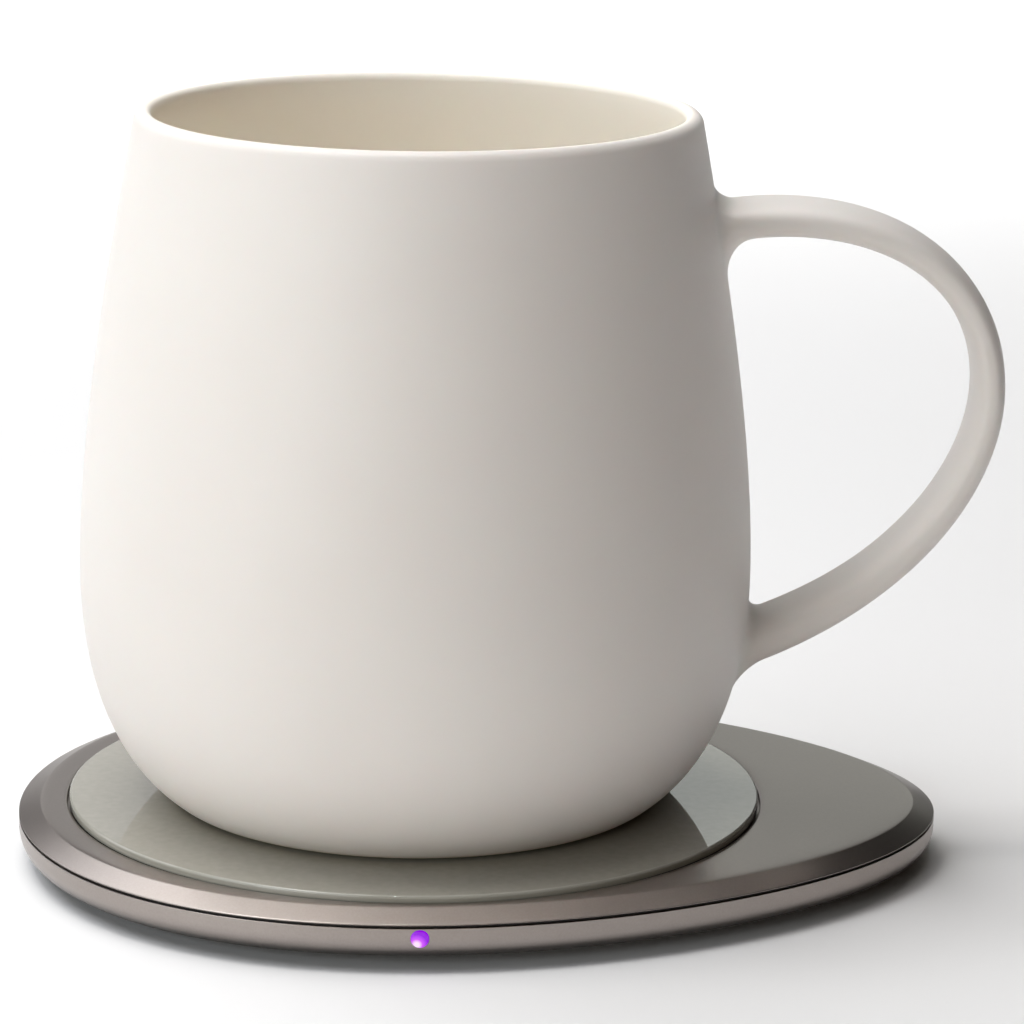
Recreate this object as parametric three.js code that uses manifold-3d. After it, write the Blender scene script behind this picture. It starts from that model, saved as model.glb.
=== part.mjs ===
// Self heating mug on an egg-shaped warming plate.
// Lengths are in millimetres, +Z is up, and the plate's foot pad stands on z = 0.
// The Z axis is the mug's axis. +X points to the handle and to the plate's narrow end.
// -Y is the front, where the indicator light shows, and +Y is the back, with the power inlet.

import * as THREE from 'three';
import { mergeVertices } from 'three/addons/utils/BufferGeometryUtils.js';
import Module from 'manifold-3d';

const wasm = await Module();
wasm.setup();

// Fineness of the facets
const mugSegments = 44;
const discSegments = 48;
const eggSides = 52;
const holeSegments = 10;
const curveSteps = 8;
const innerCurveSteps = 5;
const lipSteps = 4;
const roundSteps = 4;
const bisections = 12;
const fullTurn = Math.PI * 2;
const quarterTurn = Math.PI / 2;
const cornersPerFace = 3;
const weldDistance = 0.0001;

// Clearances shared by all pieces
const seatGap = 0.1;
const fitGap = 0.3;
const screwGap = 0.1;
const cutOverrun = 2;

// Mug body
const mugHeight = 92;
const mugRadius = 44.7;
const bellyHeight = 30.9;
const bellyPullDown = 16.15;
const bellyPullUp = 16.5;
const footRadius = 32;
const haunchReach = 7.8;
const haunchLift = 4.65;
const lipRadius = 37.2;
const lipThickness = 2.4;
const shoulderReach = 4.4;
const shoulderDrop = 25.2;
const mugWall = 3.4;
const mugBase = 6;
const mugFloorRadius = 22;
const mugFloorReach = 12;
const mugFloorPull = 12;

// Recess in the mug's base, with the heating film and its cover
const footRingWidth = 4.5;
const baseRecess = 1.7;
const filmThickness = 0.25;
const filmMargin = 0.7;
const baseCoverThickness = 0.85;

// Handle, a strap that leaves the wall at the shoulder and comes back at the haunch
const handleTopDrop = 14.7;
const handleLowLift = 20.3;
const fingerGap = 28.6;
const handleGrip = 4.8;
const handleTopThickness = 5.4;
const handleLowThickness = 6.4;
const handleWidth = 12.5;
const handleSquareness = 2.6;
const handleCrestShare = 0.62;
const topArmShares = [0.57, 0.094];
const shoulderPullShare = 0.757;
const crestPullShare = 0.339;
const lowArmShares = [0.682, 0.215];
const handleStations = 12;
const handleSides = 12;
const rootCrowding = 1.9;
const filletTopOver = 4;
const filletTopUnder = 6;
const filletLowInside = 2.5;
const filletLowUnder = 4.5;
const filletSide = 3;
const wallSkin = 0.4;

// Glass disc and its bond
const glassRadius = 46.5;
const glassThickness = 1.2;
const glassProud = 0.8;
const glassEdgeRound = 0.45;
const adhesiveThickness = 0.3;
const adhesiveWidth = 2.3;
const glassLedge = 3.3;
const ledgeThickness = 0.8;

// Plate outline, an egg that leaves these margins of flat metal round the glass
const sideMargin = 1.25;
const roundEndMargin = 3.35;
const tipMargin = 20.55;
const bevelRun = 3.1;
const eggShare = 0.168;

// Top cover
const bevelDrop = 1.4;
const coverEdge = 0.15;
const coverWall = 1.2;
const ribInset = 2.15;
const ribThickness = 0.8;
const ribDepth = 1.25;
const recessWall = 1.4;
const seamHeight = 0.4;
const gasketInset = 0.35;
const gasketWidth = 1.25;
const gasketSeat = 0.05;

// Lower shell and foot pad
const undersideLift = 1.5;
const plinthLift = 0.9;
const plinthInset = 9.2;
const plinthWidth = 1.5;
const shellHeight = 4.35;
const shellWall = 1.8;
const shellFloor = 1.1;
const shellRound = 3;
const shellCorner = 0.6;
const padHeight = 1.35;
const padChamfer = 0.3;

// Screws that hold the cover from below
const coverScrewCount = 4;
const coverScrewInset = 3.5;
const tipScrewInset = 13.45;
const coverScrew = { head: 1.8, headHeight: 0.75, shank: 0.95, length: 4.3, point: 0.5, slot: 0.45 };
const coverBossRadius = 2.5;
const lugRadius = 3.2;
const shellBossRadius = 3.2;
const shellBossLift = 0.7;
const headFloor = 0.9;

// Circuit board round the coil
const boardLift = 0.95;
const boardThickness = 0.8;
const boardInset = 4.6;
const boardWidth = 13.9;
const postRadius = 2;
const boardScrew = { head: 1.5, headHeight: 0.6, shank: 0.55, length: 2, point: 0.3, slot: 0.35 };
const boardScrewTip = { inset: 23.45, aside: 17 };
const boardScrewBack = { inset: 13.25 };
const solderGap = 0.05;

// Coil stack under the glass
const stackGap = 1.4;
const shieldThickness = 0.5;
const carrierThickness = 1.5;
const carrierRim = 1.2;
const carrierRimHeight = 0.8;
const ferriteGap = 0.4;
const ferriteThickness = 1;
const ferriteSlot = 2.4;
const sensorBore = 3.2;
const filmHole = 3.2;
const insulatorThickness = 0.2;

// Winding
const coilTurns = 8;
const coilStepsPerTurn = 24;
const coilMargin = 3.5;
const coilPitch = 1.25;
const wireRadius = 0.4;
const wireSides = 6;
const coilLeadSpread = 2.4;
const coilLanding = 3.9;
const leadBend = 1.6;

// Temperature sensor
const holderRadius = 2.9;
const holderTopInset = 0.6;
const sensorRadius = 1.2;
const sensorHeight = 0.8;
const sensorLeadRadius = 0.3;
const sensorLanding = 3.4;

// Indicator light
const indicatorAcross = 0.9;
const indicatorDrop = 1.3;
const lensRadius = 1;
const lensDome = 0.15;
const lensCollar = 0.35;
const lensCollarLength = 0.5;
const lensTail = 1.1;
const ledSize = { width: 1.6, depth: 1.1, height: 0.9 };

// Power inlet
const socketWidth = 8.94;
const socketHeight = 2.9;
const socketDepth = 7;
const socketSkin = 0.3;
const socketInset = 1.1;
const socketSlotGap = 0.15;
const socketPocket = 0.15;
const tongueWidth = 6.7;
const tongueThickness = 0.7;
const tongueDepth = 4.4;
const notchMargin = 1;

// Components on the board: width, depth and height of each body, and its place. The chips and the
// inductor lie beyond the board's window, the resonant capacitors stand beside the first cover
// screw, and the input capacitors stand beside and behind the power inlet.
const chipChamfer = 0.15;
const controllerChip = { size: [5, 5, 0.9], beyond: 8.9, aside: -10 };
const driverChip = { size: [5, 6, 1], beyond: 8.9, aside: 9.5 };
const inductor = { size: [5.2, 5.2, 1.5], beyond: 16.9, aside: 0, coreRadius: 1.9, coreProud: 0.1 };
const resonantCapacitor = { size: [3.2, 2.5, 1.5], cap: 0.5, offset: [4.7, -8.4], pitch: [1.2, 3.2], count: 4 };
const inputCapacitor = { size: [2.5, 3.2, 1.4], cap: 0.5, offset: [11.3, -4.1], pitch: [4, 0], count: 2 };

// Heights above the table, from the foot pad up to the glass and the mug
const shellTop = undersideLift + shellHeight;
const recessCeiling = padHeight + fitGap / 2;
const floorTop = undersideLift + shellFloor;
const coverLow = shellTop + seamHeight;
const coverTop = coverLow + coverEdge + bevelDrop;
const coverUnderside = coverTop - coverWall;
const glassTop = coverTop + glassProud;
const glassLow = glassTop - glassThickness;
const ledgeTop = glassLow - adhesiveThickness - seatGap - seatGap;
const ledgeLow = ledgeTop - ledgeThickness;
const shellBossTop = floorTop + shellBossLift;
const boardLow = floorTop + boardLift;
const boardTop = boardLow + boardThickness;
const shieldLow = floorTop + seatGap;
const carrierLow = shieldLow + shieldThickness + seatGap;
const carrierTop = carrierLow + carrierThickness;
const ferriteLow = carrierTop + seatGap;
const ferriteTop = ferriteLow + ferriteThickness;
const insulatorTop = glassLow - seatGap;
const insulatorLow = insulatorTop - insulatorThickness;
const coilHeight = insulatorLow - seatGap - wireRadius;
const slotWireHeight = ferriteLow + wireRadius;
const padWireHeight = boardTop + seatGap + wireRadius;
const mugLift = glassTop + fitGap;

// Plan sizes that follow from the glass and the margins
const recessRadius = glassRadius + fitGap;
const windowRadius = recessRadius - glassLedge;
const coverScrewOrbit = windowRadius - coverScrewInset;
const boardWindow = windowRadius - boardWidth;
const stackRadius = boardWindow - stackGap;
const ferriteRadius = stackRadius - carrierRim - ferriteGap;
const coilInnerRadius = ferriteRadius - coilMargin - coilPitch * coilTurns;
const halfBreadth = recessRadius + sideMargin + bevelRun;
const roundEnd = recessRadius + roundEndMargin + bevelRun;
const tipEnd = recessRadius + tipMargin + bevelRun;
const plateLength = roundEnd + tipEnd;
const eggCentre = (tipEnd - roundEnd) / 2;
const widestAngle = Math.acos((1 - Math.sqrt(1 + 8 * eggShare * eggShare)) / (4 * eggShare));
const plateBreadth = 2 * halfBreadth / (Math.sin(widestAngle) * (1 - eggShare * Math.cos(widestAngle)));
const widestAcross = eggCentre + plateLength / 2 * Math.cos(widestAngle);
const padInset = plinthInset + plinthWidth;
const socketFront = halfBreadth - socketInset;
const socketBack = socketFront - socketDepth;

// Point of the plate's outline: an ellipse whose breadth shrinks towards the tip,
// moved inwards along its own normal by the inset.
function eggPoint(angle, inset) {
  const x = eggCentre + plateLength / 2 * Math.cos(angle);
  const y = plateBreadth / 2 * Math.sin(angle) * (1 - eggShare * Math.cos(angle));
  const slopeX = -plateLength / 2 * Math.sin(angle);
  const slopeY = plateBreadth / 2 * (Math.cos(angle) - eggShare * Math.cos(2 * angle));
  const slope = Math.hypot(slopeX, slopeY);
  return [x - inset * slopeY / slope, y + inset * slopeX / slope];
}

// Half breadth of the outline at a place along the plate
function eggHalfBreadthAt(across) {
  const cosine = (across - eggCentre) / (plateLength / 2);
  return plateBreadth / 2 * Math.sqrt(1 - cosine * cosine) * (1 - eggShare * cosine);
}

// Triangle mesh from point rows and faces
function meshFrom(points, faces) {
  const geometry = new THREE.BufferGeometry();
  geometry.setAttribute('position', new THREE.Float32BufferAttribute(points, cornersPerFace));
  geometry.setIndex(faces);
  return geometry;
}

// Skin over rings of points with equal counts. A closed skin runs from the last ring back to the
// first, and an open one is capped at both ends with a fan round the ring's middle.
function loft(rings, closed) {
  const count = rings[0].length;
  const points = rings.flat(2);
  const faces = [];
  const spans = closed ? rings.length : rings.length - 1;
  for (let span = 0; span < spans; span += 1) {
    const near = span * count;
    const far = ((span + 1) % rings.length) * count;
    for (let side = 0; side < count; side += 1) {
      const next = (side + 1) % count;
      faces.push(near + side, near + next, far + next);
      faces.push(near + side, far + next, far + side);
    }
  }
  if (!closed) {
    capRing(rings[0], 0, points, faces, true);
    capRing(rings[rings.length - 1], (rings.length - 1) * count, points, faces, false);
  }
  return meshFrom(points, faces);
}

// Fan from the middle of a ring to its sides
function capRing(ring, first, points, faces, atStart) {
  const middle = points.length / cornersPerFace;
  for (let axis = 0; axis < cornersPerFace; axis += 1) {
    points.push(ring.reduce((sum, point) => sum + point[axis], 0) / ring.length);
  }
  for (let side = 0; side < ring.length; side += 1) {
    const here = first + side;
    const next = first + (side + 1) % ring.length;
    faces.push(middle, atStart ? next : here, atStart ? here : next);
  }
}

// Solid with the plate's outline, from pairs of inset and height
function eggLoft(profile, closed) {
  const rings = profile.map(([inset, height]) => {
    const ring = [];
    for (let side = 0; side < eggSides; side += 1) {
      ring.push([...eggPoint(fullTurn * side / eggSides, inset), height]);
    }
    return ring;
  });
  return loft(rings, closed);
}

// Body turned about the Z axis from pairs of radius and height
function turned(profile, segments) {
  const points = profile.map(([radius, height]) => new THREE.Vector2(radius, height));
  return new THREE.LatheGeometry(points, segments).rotateX(quarterTurn);
}

// Round bar that stands on the given place
function post(radius, low, high, [x, y] = [0, 0], segments = holeSegments) {
  const bar = new THREE.CylinderGeometry(radius, radius, high - low, segments);
  return bar.rotateX(quarterTurn).translate(x, y, (low + high) / 2);
}

// Block given by its middle in plan and its lowest and highest height
function block([width, depth], low, high, [x, y]) {
  return new THREE.BoxGeometry(width, depth, high - low).translate(x, y, (low + high) / 2);
}

// Flat ring turned about the Z axis
function washer(inner, outer, low, high) {
  return turned([[inner, low], [outer, low], [outer, high], [inner, high], [inner, low]], discSegments);
}

// Geometry whose shared corners are merged, without faces that have shrunk to a line
function welded(source) {
  const bare = source.clone();
  bare.deleteAttribute('normal');
  bare.deleteAttribute('uv');
  const merged = mergeVertices(bare, weldDistance);
  const corners = merged.index.array;
  const kept = [];
  for (let first = 0; first < corners.length; first += cornersPerFace) {
    const [a, b, c] = corners.slice(first, first + cornersPerFace);
    if (a !== b && b !== c && c !== a) {
      kept.push(a, b, c);
    }
  }
  merged.setIndex(kept);
  return signedVolume(merged) < 0 ? turnedOutwards(merged) : merged;
}

// Volume of a closed mesh, negative where its faces point inwards
function signedVolume(geometry) {
  const place = geometry.getAttribute('position');
  const corners = geometry.index.array;
  const [a, b, c] = [new THREE.Vector3(), new THREE.Vector3(), new THREE.Vector3()];
  let volume = 0;
  for (let first = 0; first < corners.length; first += cornersPerFace) {
    a.fromBufferAttribute(place, corners[first]);
    b.fromBufferAttribute(place, corners[first + 1]);
    c.fromBufferAttribute(place, corners[first + 2]);
    volume += a.dot(b.cross(c));
  }
  return volume;
}

// The same mesh with each face's corners in the other order
function turnedOutwards(geometry) {
  geometry.setIndex(Array.from(geometry.index.array).reverse());
  return geometry;
}

// Solid that can be joined and cut
function solid(source) {
  const geometry = welded(source);
  return new wasm.Manifold(new wasm.Mesh({
    numProp: cornersPerFace,
    vertProperties: new Float32Array(geometry.getAttribute('position').array),
    triVerts: new Uint32Array(geometry.index.array),
  }));
}

// Geometry of a joined or cut solid
function shapeOf(result) {
  const mesh = result.getMesh();
  return meshFrom(Array.from(mesh.vertProperties), Array.from(mesh.triVerts));
}

// Row of points along a curve of two cubic stretches or one
function pointsAlong(curve, steps) {
  return curve.getPoints(steps).map((point) => [point.x, point.y]);
}

function bezier(...corners) {
  return new THREE.CubicBezierCurve(...corners.map(([x, y]) => new THREE.Vector2(x, y)));
}

// Outer side of the mug from its foot to the lip: a haunch curve and a shoulder curve that share
// an upright tangent at the belly.
const haunchCurve = bezier(
  [footRadius, 0],
  [footRadius + haunchReach, haunchLift],
  [mugRadius, bellyHeight - bellyPullDown],
  [mugRadius, bellyHeight],
);
const shoulderCurve = bezier(
  [mugRadius, bellyHeight],
  [mugRadius, bellyHeight + bellyPullUp],
  [lipRadius + shoulderReach, mugHeight - shoulderDrop],
  [lipRadius, mugHeight - lipThickness / 2],
);

// Inner side of the mug from the floor to the lip, moved outwards by the skin
function innerProfile(skin) {
  const wallRadius = mugRadius - mugWall + skin;
  const lipInner = lipRadius - lipThickness + skin;
  const floorHeight = mugBase - skin;
  const floorCurve = bezier(
    [mugFloorRadius, floorHeight],
    [mugFloorRadius + mugFloorReach, floorHeight],
    [wallRadius, bellyHeight - mugFloorPull],
    [wallRadius, bellyHeight],
  );
  const wallCurve = bezier(
    [wallRadius, bellyHeight],
    [wallRadius, bellyHeight + bellyPullUp],
    [lipInner + shoulderReach, mugHeight - shoulderDrop],
    [lipInner, mugHeight - lipThickness / 2],
  );
  return [
    [0, floorHeight],
    ...pointsAlong(floorCurve, innerCurveSteps),
    ...pointsAlong(wallCurve, innerCurveSteps).slice(1),
  ];
}

// Half round of the lip, from its outer side over the top
function lipProfile() {
  const radius = lipThickness / 2;
  const points = [];
  for (let step = 1; step < lipSteps; step += 1) {
    const angle = Math.PI * step / lipSteps;
    points.push([lipRadius - radius + radius * Math.cos(angle), mugHeight - radius + radius * Math.sin(angle)]);
  }
  return points;
}

const mugOutline = [
  ...pointsAlong(haunchCurve, curveSteps),
  ...pointsAlong(shoulderCurve, curveSteps).slice(1),
];

// Radius of the mug's outer side at a height above its foot
function mugRadiusAt(height) {
  const above = mugOutline.findIndex(([, level]) => level > height);
  if (above < 1) {
    return above === 0 ? footRadius : lipRadius;
  }
  const [lowRadius, low] = mugOutline[above - 1];
  const [highRadius, high] = mugOutline[above];
  return lowRadius + (highRadius - lowRadius) * (height - low) / (high - low);
}

// Middle line of the handle as two cubic stretches: top root to crest and crest to low root
function handleCurves() {
  const topHeight = mugHeight - handleTopDrop;
  const rise = topHeight - handleLowLift;
  const crestHeight = handleLowLift + rise * handleCrestShare;
  const reach = mugRadius + fingerGap + handleGrip / 2;
  const topRoot = mugRadiusAt(topHeight) - mugWall / 2;
  const lowRoot = mugRadiusAt(handleLowLift) - mugWall / 2;
  const topArm = bezier(
    [topRoot, topHeight],
    [topRoot + (reach - topRoot) * topArmShares[0], topHeight + rise * topArmShares[1]],
    [reach, crestHeight + (topHeight - crestHeight) * shoulderPullShare],
    [reach, crestHeight],
  );
  const lowArm = bezier(
    [reach, crestHeight],
    [reach, crestHeight - (crestHeight - handleLowLift) * crestPullShare],
    [lowRoot + (reach - lowRoot) * lowArmShares[0],
      handleLowLift + (crestHeight - handleLowLift) * lowArmShares[1]],
    [lowRoot, handleLowLift],
  );
  return { topArm, lowArm };
}

// How far a round fillet stands out at a distance from the wall
function filletRise(distance, radius) {
  const short = radius - Math.min(Math.max(distance, 0), radius);
  return radius - Math.sqrt(radius * radius - short * short);
}

// Ring of the handle at a point of its middle line. The section is a rounded strap, square to the
// line, and it flares into fillets where it comes near the mug's wall.
function handleRing(centre, tangent, thickness, outerFillet, innerFillet) {
  const normal = [-tangent.y, tangent.x];
  const ring = [];
  for (let side = 0; side < handleSides; side += 1) {
    const angle = fullTurn * side / handleSides;
    const [outwards, across] = [Math.cos(angle), Math.sin(angle)];
    const power = 2 / handleSquareness;
    const rise = thickness / 2 * Math.sign(outwards) * Math.abs(outwards) ** power;
    const y = handleWidth / 2 * Math.sign(across) * Math.abs(across) ** power;
    const x = centre.x + normal[0] * rise;
    const z = centre.y + normal[1] * rise;
    const radius = filletSide * across * across + (outwards > 0 ? outerFillet : innerFillet) * outwards * outwards;
    ring.push(flared([x, y, z], [normal[0] * outwards, across, normal[1] * outwards], radius));
  }
  return ring;
}

// Moves a point of the handle outwards until it lies on a fillet of the given radius. The
// distance from the wall is that of the moved point, so a wall that leans away gets less flare.
function flared(point, way, radius) {
  const moved = (length) => point.map((value, axis) => value + way[axis] * length);
  const clearance = ([x, y, z]) => Math.hypot(x, y) - mugRadiusAt(z);
  let [least, most] = [0, radius];
  for (let halving = 0; halving < bisections; halving += 1) {
    const middle = (least + most) / 2;
    const distance = Math.max(clearance(point), clearance(moved(middle)));
    if (filletRise(distance, radius) > middle) {
      least = middle;
    } else {
      most = middle;
    }
  }
  return moved(least);
}

// Handle with both ends carried straight on into the wall, so that the fillets end inside it
function handleShape() {
  const { topArm, lowArm } = handleCurves();
  const rings = [];
  const buried = (arm, along, depth, thickness, fillets) => {
    const way = arm.getTangent(along);
    rings.push(handleRing(arm.getPoint(along).addScaledVector(way, depth), way, thickness, ...fillets));
  };
  buried(topArm, 0, -2 * mugWall, handleTopThickness, [filletTopOver, filletTopUnder]);
  buried(topArm, 0, -mugWall, handleTopThickness, [filletTopOver, filletTopUnder]);
  for (let station = 0; station <= handleStations; station += 1) {
    const along = (station / handleStations) ** rootCrowding;
    const thickness = handleTopThickness + (handleGrip - handleTopThickness) * Math.sin(along * quarterTurn);
    rings.push(handleRing(
      topArm.getPoint(along), topArm.getTangent(along), thickness, filletTopOver, filletTopUnder,
    ));
  }
  for (let station = handleStations - 1; station >= 0; station -= 1) {
    const along = 1 - (station / handleStations) ** rootCrowding;
    const thickness = handleGrip + (handleLowThickness - handleGrip) * Math.sin(along * quarterTurn);
    rings.push(handleRing(
      lowArm.getPoint(along), lowArm.getTangent(along), thickness, filletLowUnder, filletLowInside,
    ));
  }
  buried(lowArm, 1, mugWall, handleLowThickness, [filletLowUnder, filletLowInside]);
  buried(lowArm, 1, 2 * mugWall, handleLowThickness, [filletLowUnder, filletLowInside]);
  return loft(rings, false);
}

// Mug with its handle fired on: a turned wall with a foot ring, and the handle kept out of the bowl
function mugBody() {
  const recess = footRadius - footRingWidth;
  const wall = turned([
    [0, baseRecess],
    [recess, baseRecess],
    [recess, 0],
    ...mugOutline,
    ...lipProfile(),
    ...innerProfile(0).reverse(),
  ], mugSegments);
  const bowl = turned([...innerProfile(wallSkin), [0, mugHeight - lipThickness / 2]], mugSegments);
  return shapeOf(solid(wall).add(solid(handleShape()).subtract(solid(bowl))));
}

function heatingFilm() {
  const top = baseRecess - seatGap;
  return post(footRadius - footRingWidth - filmMargin, top - filmThickness, top, [0, 0], discSegments);
}

function baseCover() {
  const top = baseRecess - seatGap - filmThickness - seatGap;
  return post(footRadius - footRingWidth - fitGap, top - baseCoverThickness, top, [0, 0], discSegments);
}

// Glass disc with rounded upper edge
function glassDisc() {
  const points = [[0, glassLow], [glassRadius, glassLow]];
  for (let step = 0; step <= roundSteps; step += 1) {
    const angle = quarterTurn * step / roundSteps;
    points.push([
      glassRadius - glassEdgeRound + glassEdgeRound * Math.cos(angle),
      glassTop - glassEdgeRound + glassEdgeRound * Math.sin(angle),
    ]);
  }
  return turned([...points, [0, glassTop]], discSegments);
}

function adhesiveRing() {
  const outer = recessRadius - fitGap - fitGap;
  return washer(outer - adhesiveWidth, outer, ledgeTop + seatGap, ledgeTop + seatGap + adhesiveThickness);
}

// Places of the cover's screws: four round the coil and one near the tip
const coverScrewPlaces = [];
for (let screw = 0; screw < coverScrewCount; screw += 1) {
  const angle = fullTurn * (screw + 1 / 2) / coverScrewCount;
  coverScrewPlaces.push([coverScrewOrbit * Math.cos(angle), coverScrewOrbit * Math.sin(angle)]);
}
coverScrewPlaces.push([tipEnd - tipScrewInset, 0]);

// Places of the board's screws: two towards the tip and one at the round end
const boardScrewPlaces = [
  [tipEnd - boardScrewTip.inset, boardScrewTip.aside],
  [tipEnd - boardScrewTip.inset, -boardScrewTip.aside],
  [boardScrewBack.inset - roundEnd, 0],
];

// Lug that carries a screw boss inside the window in the cover
function windowLug([x, y]) {
  const angle = Math.atan2(y, x);
  const length = windowRadius + recessWall - coverScrewOrbit;
  const arm = new THREE.BoxGeometry(length, lugRadius * 2, ledgeThickness);
  arm.translate(coverScrewOrbit + length / 2, 0, ledgeLow + ledgeThickness / 2).rotateZ(angle);
  return solid(post(lugRadius, ledgeLow, ledgeTop, [x, y])).add(solid(arm));
}

// Metal cover: bevelled egg plate with a locating rib, and a ledge round the window that carries
// the glass. The rib is cut away at the indicator and at the power inlet.
function topCover() {
  const ribInner = ribInset + ribThickness;
  const blank = eggLoft([
    [ribInner, coverUnderside],
    [ribInner, coverLow - ribDepth],
    [ribInset, coverLow - ribDepth],
    [ribInset, coverLow],
    [0, coverLow],
    [0, coverLow + coverEdge],
    [bevelRun, coverTop],
  ], false);
  const ledge = post(recessRadius + recessWall, ledgeLow, coverUnderside + seatGap, [0, 0], discSegments);
  const recess = post(recessRadius, ledgeTop, coverTop + cutOverrun, [0, 0], discSegments);
  const window = post(windowRadius, ledgeLow - cutOverrun, coverTop, [0, 0], discSegments);
  let cover = solid(blank).add(solid(ledge)).subtract(solid(recess)).subtract(solid(window));
  for (const place of coverScrewPlaces) {
    const atTip = place === coverScrewPlaces[coverScrewCount];
    const bossTop = atTip ? coverUnderside + seatGap : ledgeTop;
    const boss = solid(post(coverBossRadius, shellBossTop + seatGap, bossTop, place));
    cover = cover.add(atTip ? boss : boss.add(windowLug(place)));
    const pilotTop = screwHeadLow + coverScrew.headHeight + coverScrew.length + screwGap;
    cover = cover.subtract(solid(post(coverScrew.shank + screwGap, floorTop, pilotTop, place)));
  }
  const ribLow = coverLow - ribDepth - cutOverrun;
  const socketNotch = socketWidth + 2 * notchMargin;
  const lensNotch = 2 * (lensRadius + lensCollar + notchMargin);
  const notchDepth = 2 * (ribInner + notchMargin);
  cover = cover.subtract(solid(block([socketNotch, notchDepth], ribLow, coverLow, [widestAcross, halfBreadth])));
  return shapeOf(cover.subtract(solid(
    block([lensNotch, notchDepth], ribLow, coverLow, [indicatorAcross, -halfBreadth]),
  )));
}

function seamGasket() {
  const [low, high] = [shellTop + gasketSeat, coverLow - gasketSeat];
  const inner = gasketInset + gasketWidth;
  return eggLoft([[gasketInset, low], [gasketInset, high], [inner, high], [inner, low]], true);
}

// Height at which the cover screws' heads lie, just above the foot pad's recess
const screwHeadLow = recessCeiling + seatGap;

// Upright post on the shell's floor for a board screw
function boardPost(place) {
  return solid(post(postRadius, floorTop - seatGap, boardLow - seatGap, place));
}

// Outline of the power inlet, flat with round ends, standing in the XZ plane
function inletOutline(width, height) {
  const radius = height / 2;
  const straight = width / 2 - radius;
  const outline = new THREE.Shape();
  outline.absarc(straight, 0, radius, -quarterTurn, quarterTurn, false);
  outline.absarc(-straight, 0, radius, quarterTurn, quarterTurn * cornersPerFace, false);
  return outline;
}

// Bar with the inlet's outline, from one depth to another along Y
function inletBar(width, height, front, back) {
  const bar = new THREE.ExtrudeGeometry(inletOutline(width, height), {
    depth: front - back, bevelEnabled: false, curveSegments: roundSteps,
  });
  return bar.rotateX(quarterTurn).translate(widestAcross, front, socketMiddle);
}

const socketMiddle = floorTop - socketPocket / 2 + socketHeight / 2;
const indicatorHeight = shellTop - indicatorDrop;

// Round bar along Y at the indicator, from one depth to another
function indicatorBar(radius, front, back) {
  const bar = new THREE.CylinderGeometry(radius, radius, back - front, holeSegments);
  return bar.translate(indicatorAcross, (front + back) / 2, indicatorHeight);
}

// Metal tray: egg outline with a round lower edge, a plinth that holds the foot pad, bosses for the
// cover screws, posts for the board, and openings for the indicator and the power inlet.
function lowerShell() {
  const profile = [
    [padInset, recessCeiling],
    [padInset, plinthLift],
    [plinthInset, plinthLift],
    [plinthInset, undersideLift],
  ];
  for (let step = 0; step <= roundSteps; step += 1) {
    const angle = quarterTurn * step / roundSteps;
    profile.push([shellRound - shellRound * Math.sin(angle), undersideLift + shellRound * (1 - Math.cos(angle))]);
  }
  profile.push([0, shellTop], [shellWall, shellTop]);
  profile.push([shellWall, floorTop + shellCorner], [shellWall + shellCorner, floorTop]);
  let shell = solid(eggLoft(profile, false));
  for (const place of coverScrewPlaces) {
    shell = shell.add(solid(post(shellBossRadius, floorTop - seatGap, shellBossTop, place)));
  }
  for (const place of coverScrewPlaces) {
    const seat = shellBossTop - headFloor;
    shell = shell.subtract(solid(post(coverScrew.head + fitGap, plinthLift, seat, place)));
    shell = shell.subtract(solid(post(coverScrew.shank + screwGap, plinthLift, shellBossTop + cutOverrun, place)));
  }
  for (const place of boardScrewPlaces) {
    shell = shell.add(boardPost(place));
    const pilotLow = boardTop + seatGap - boardScrew.length - screwGap;
    shell = shell.subtract(solid(post(boardScrew.shank + screwGap, pilotLow, boardTop, place)));
  }
  const gap = 2 * socketSlotGap;
  const slotFront = halfBreadth + cutOverrun;
  const slotBack = socketBack - fitGap;
  shell = shell.subtract(solid(inletBar(socketWidth + gap, socketHeight + gap, slotFront, slotBack)));
  const wallInside = shellWall + cutOverrun;
  const front = -eggHalfBreadthAt(indicatorAcross);
  return shapeOf(shell.subtract(solid(
    indicatorBar(lensRadius + socketSlotGap, front - cutOverrun, front + wallInside),
  )));
}

function footPad() {
  const inset = padInset + fitGap;
  return eggLoft([[inset + padChamfer, 0], [inset, padChamfer], [inset, padHeight]], false);
}

// Screw with its head at the foot, turned over for one driven from above
function screw(size, [x, y], headHeight, fromBelow) {
  const { head, headHeight: tall, shank, length, point, slot } = size;
  const body = turned([
    [0, 0], [head, 0], [head, tall], [shank, tall], [shank, tall + length - point], [0, tall + length],
  ], holeSegments);
  const bar = [head, slot];
  const cross = solid(block(bar, -tall / 2, tall / 2, [0, 0])).add(
    solid(block([slot, head], -tall / 2, tall / 2, [0, 0])),
  );
  const shape = shapeOf(solid(body).subtract(cross));
  if (!fromBelow) {
    shape.rotateX(Math.PI);
  }
  return shape.translate(x, y, headHeight);
}

// Board: the plate's outline with a round window for the coil stack
function mainBoard() {
  const blank = eggLoft([[boardInset, boardLow], [boardInset, boardTop]], false);
  const [low, high] = [boardLow - cutOverrun, boardTop + cutOverrun];
  let board = solid(blank).subtract(solid(post(boardWindow, low, high, [0, 0], discSegments)));
  for (const place of coverScrewPlaces) {
    board = board.subtract(solid(post(coverBossRadius + fitGap, low, high, place)));
  }
  for (const place of boardScrewPlaces) {
    board = board.subtract(solid(post(boardScrew.shank + fitGap, low, high, place)));
  }
  const notch = [socketWidth + 2 * fitGap, 2 * (socketDepth + fitGap)];
  return shapeOf(board.subtract(solid(block(notch, low, high, [widestAcross, socketFront]))));
}

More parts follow.
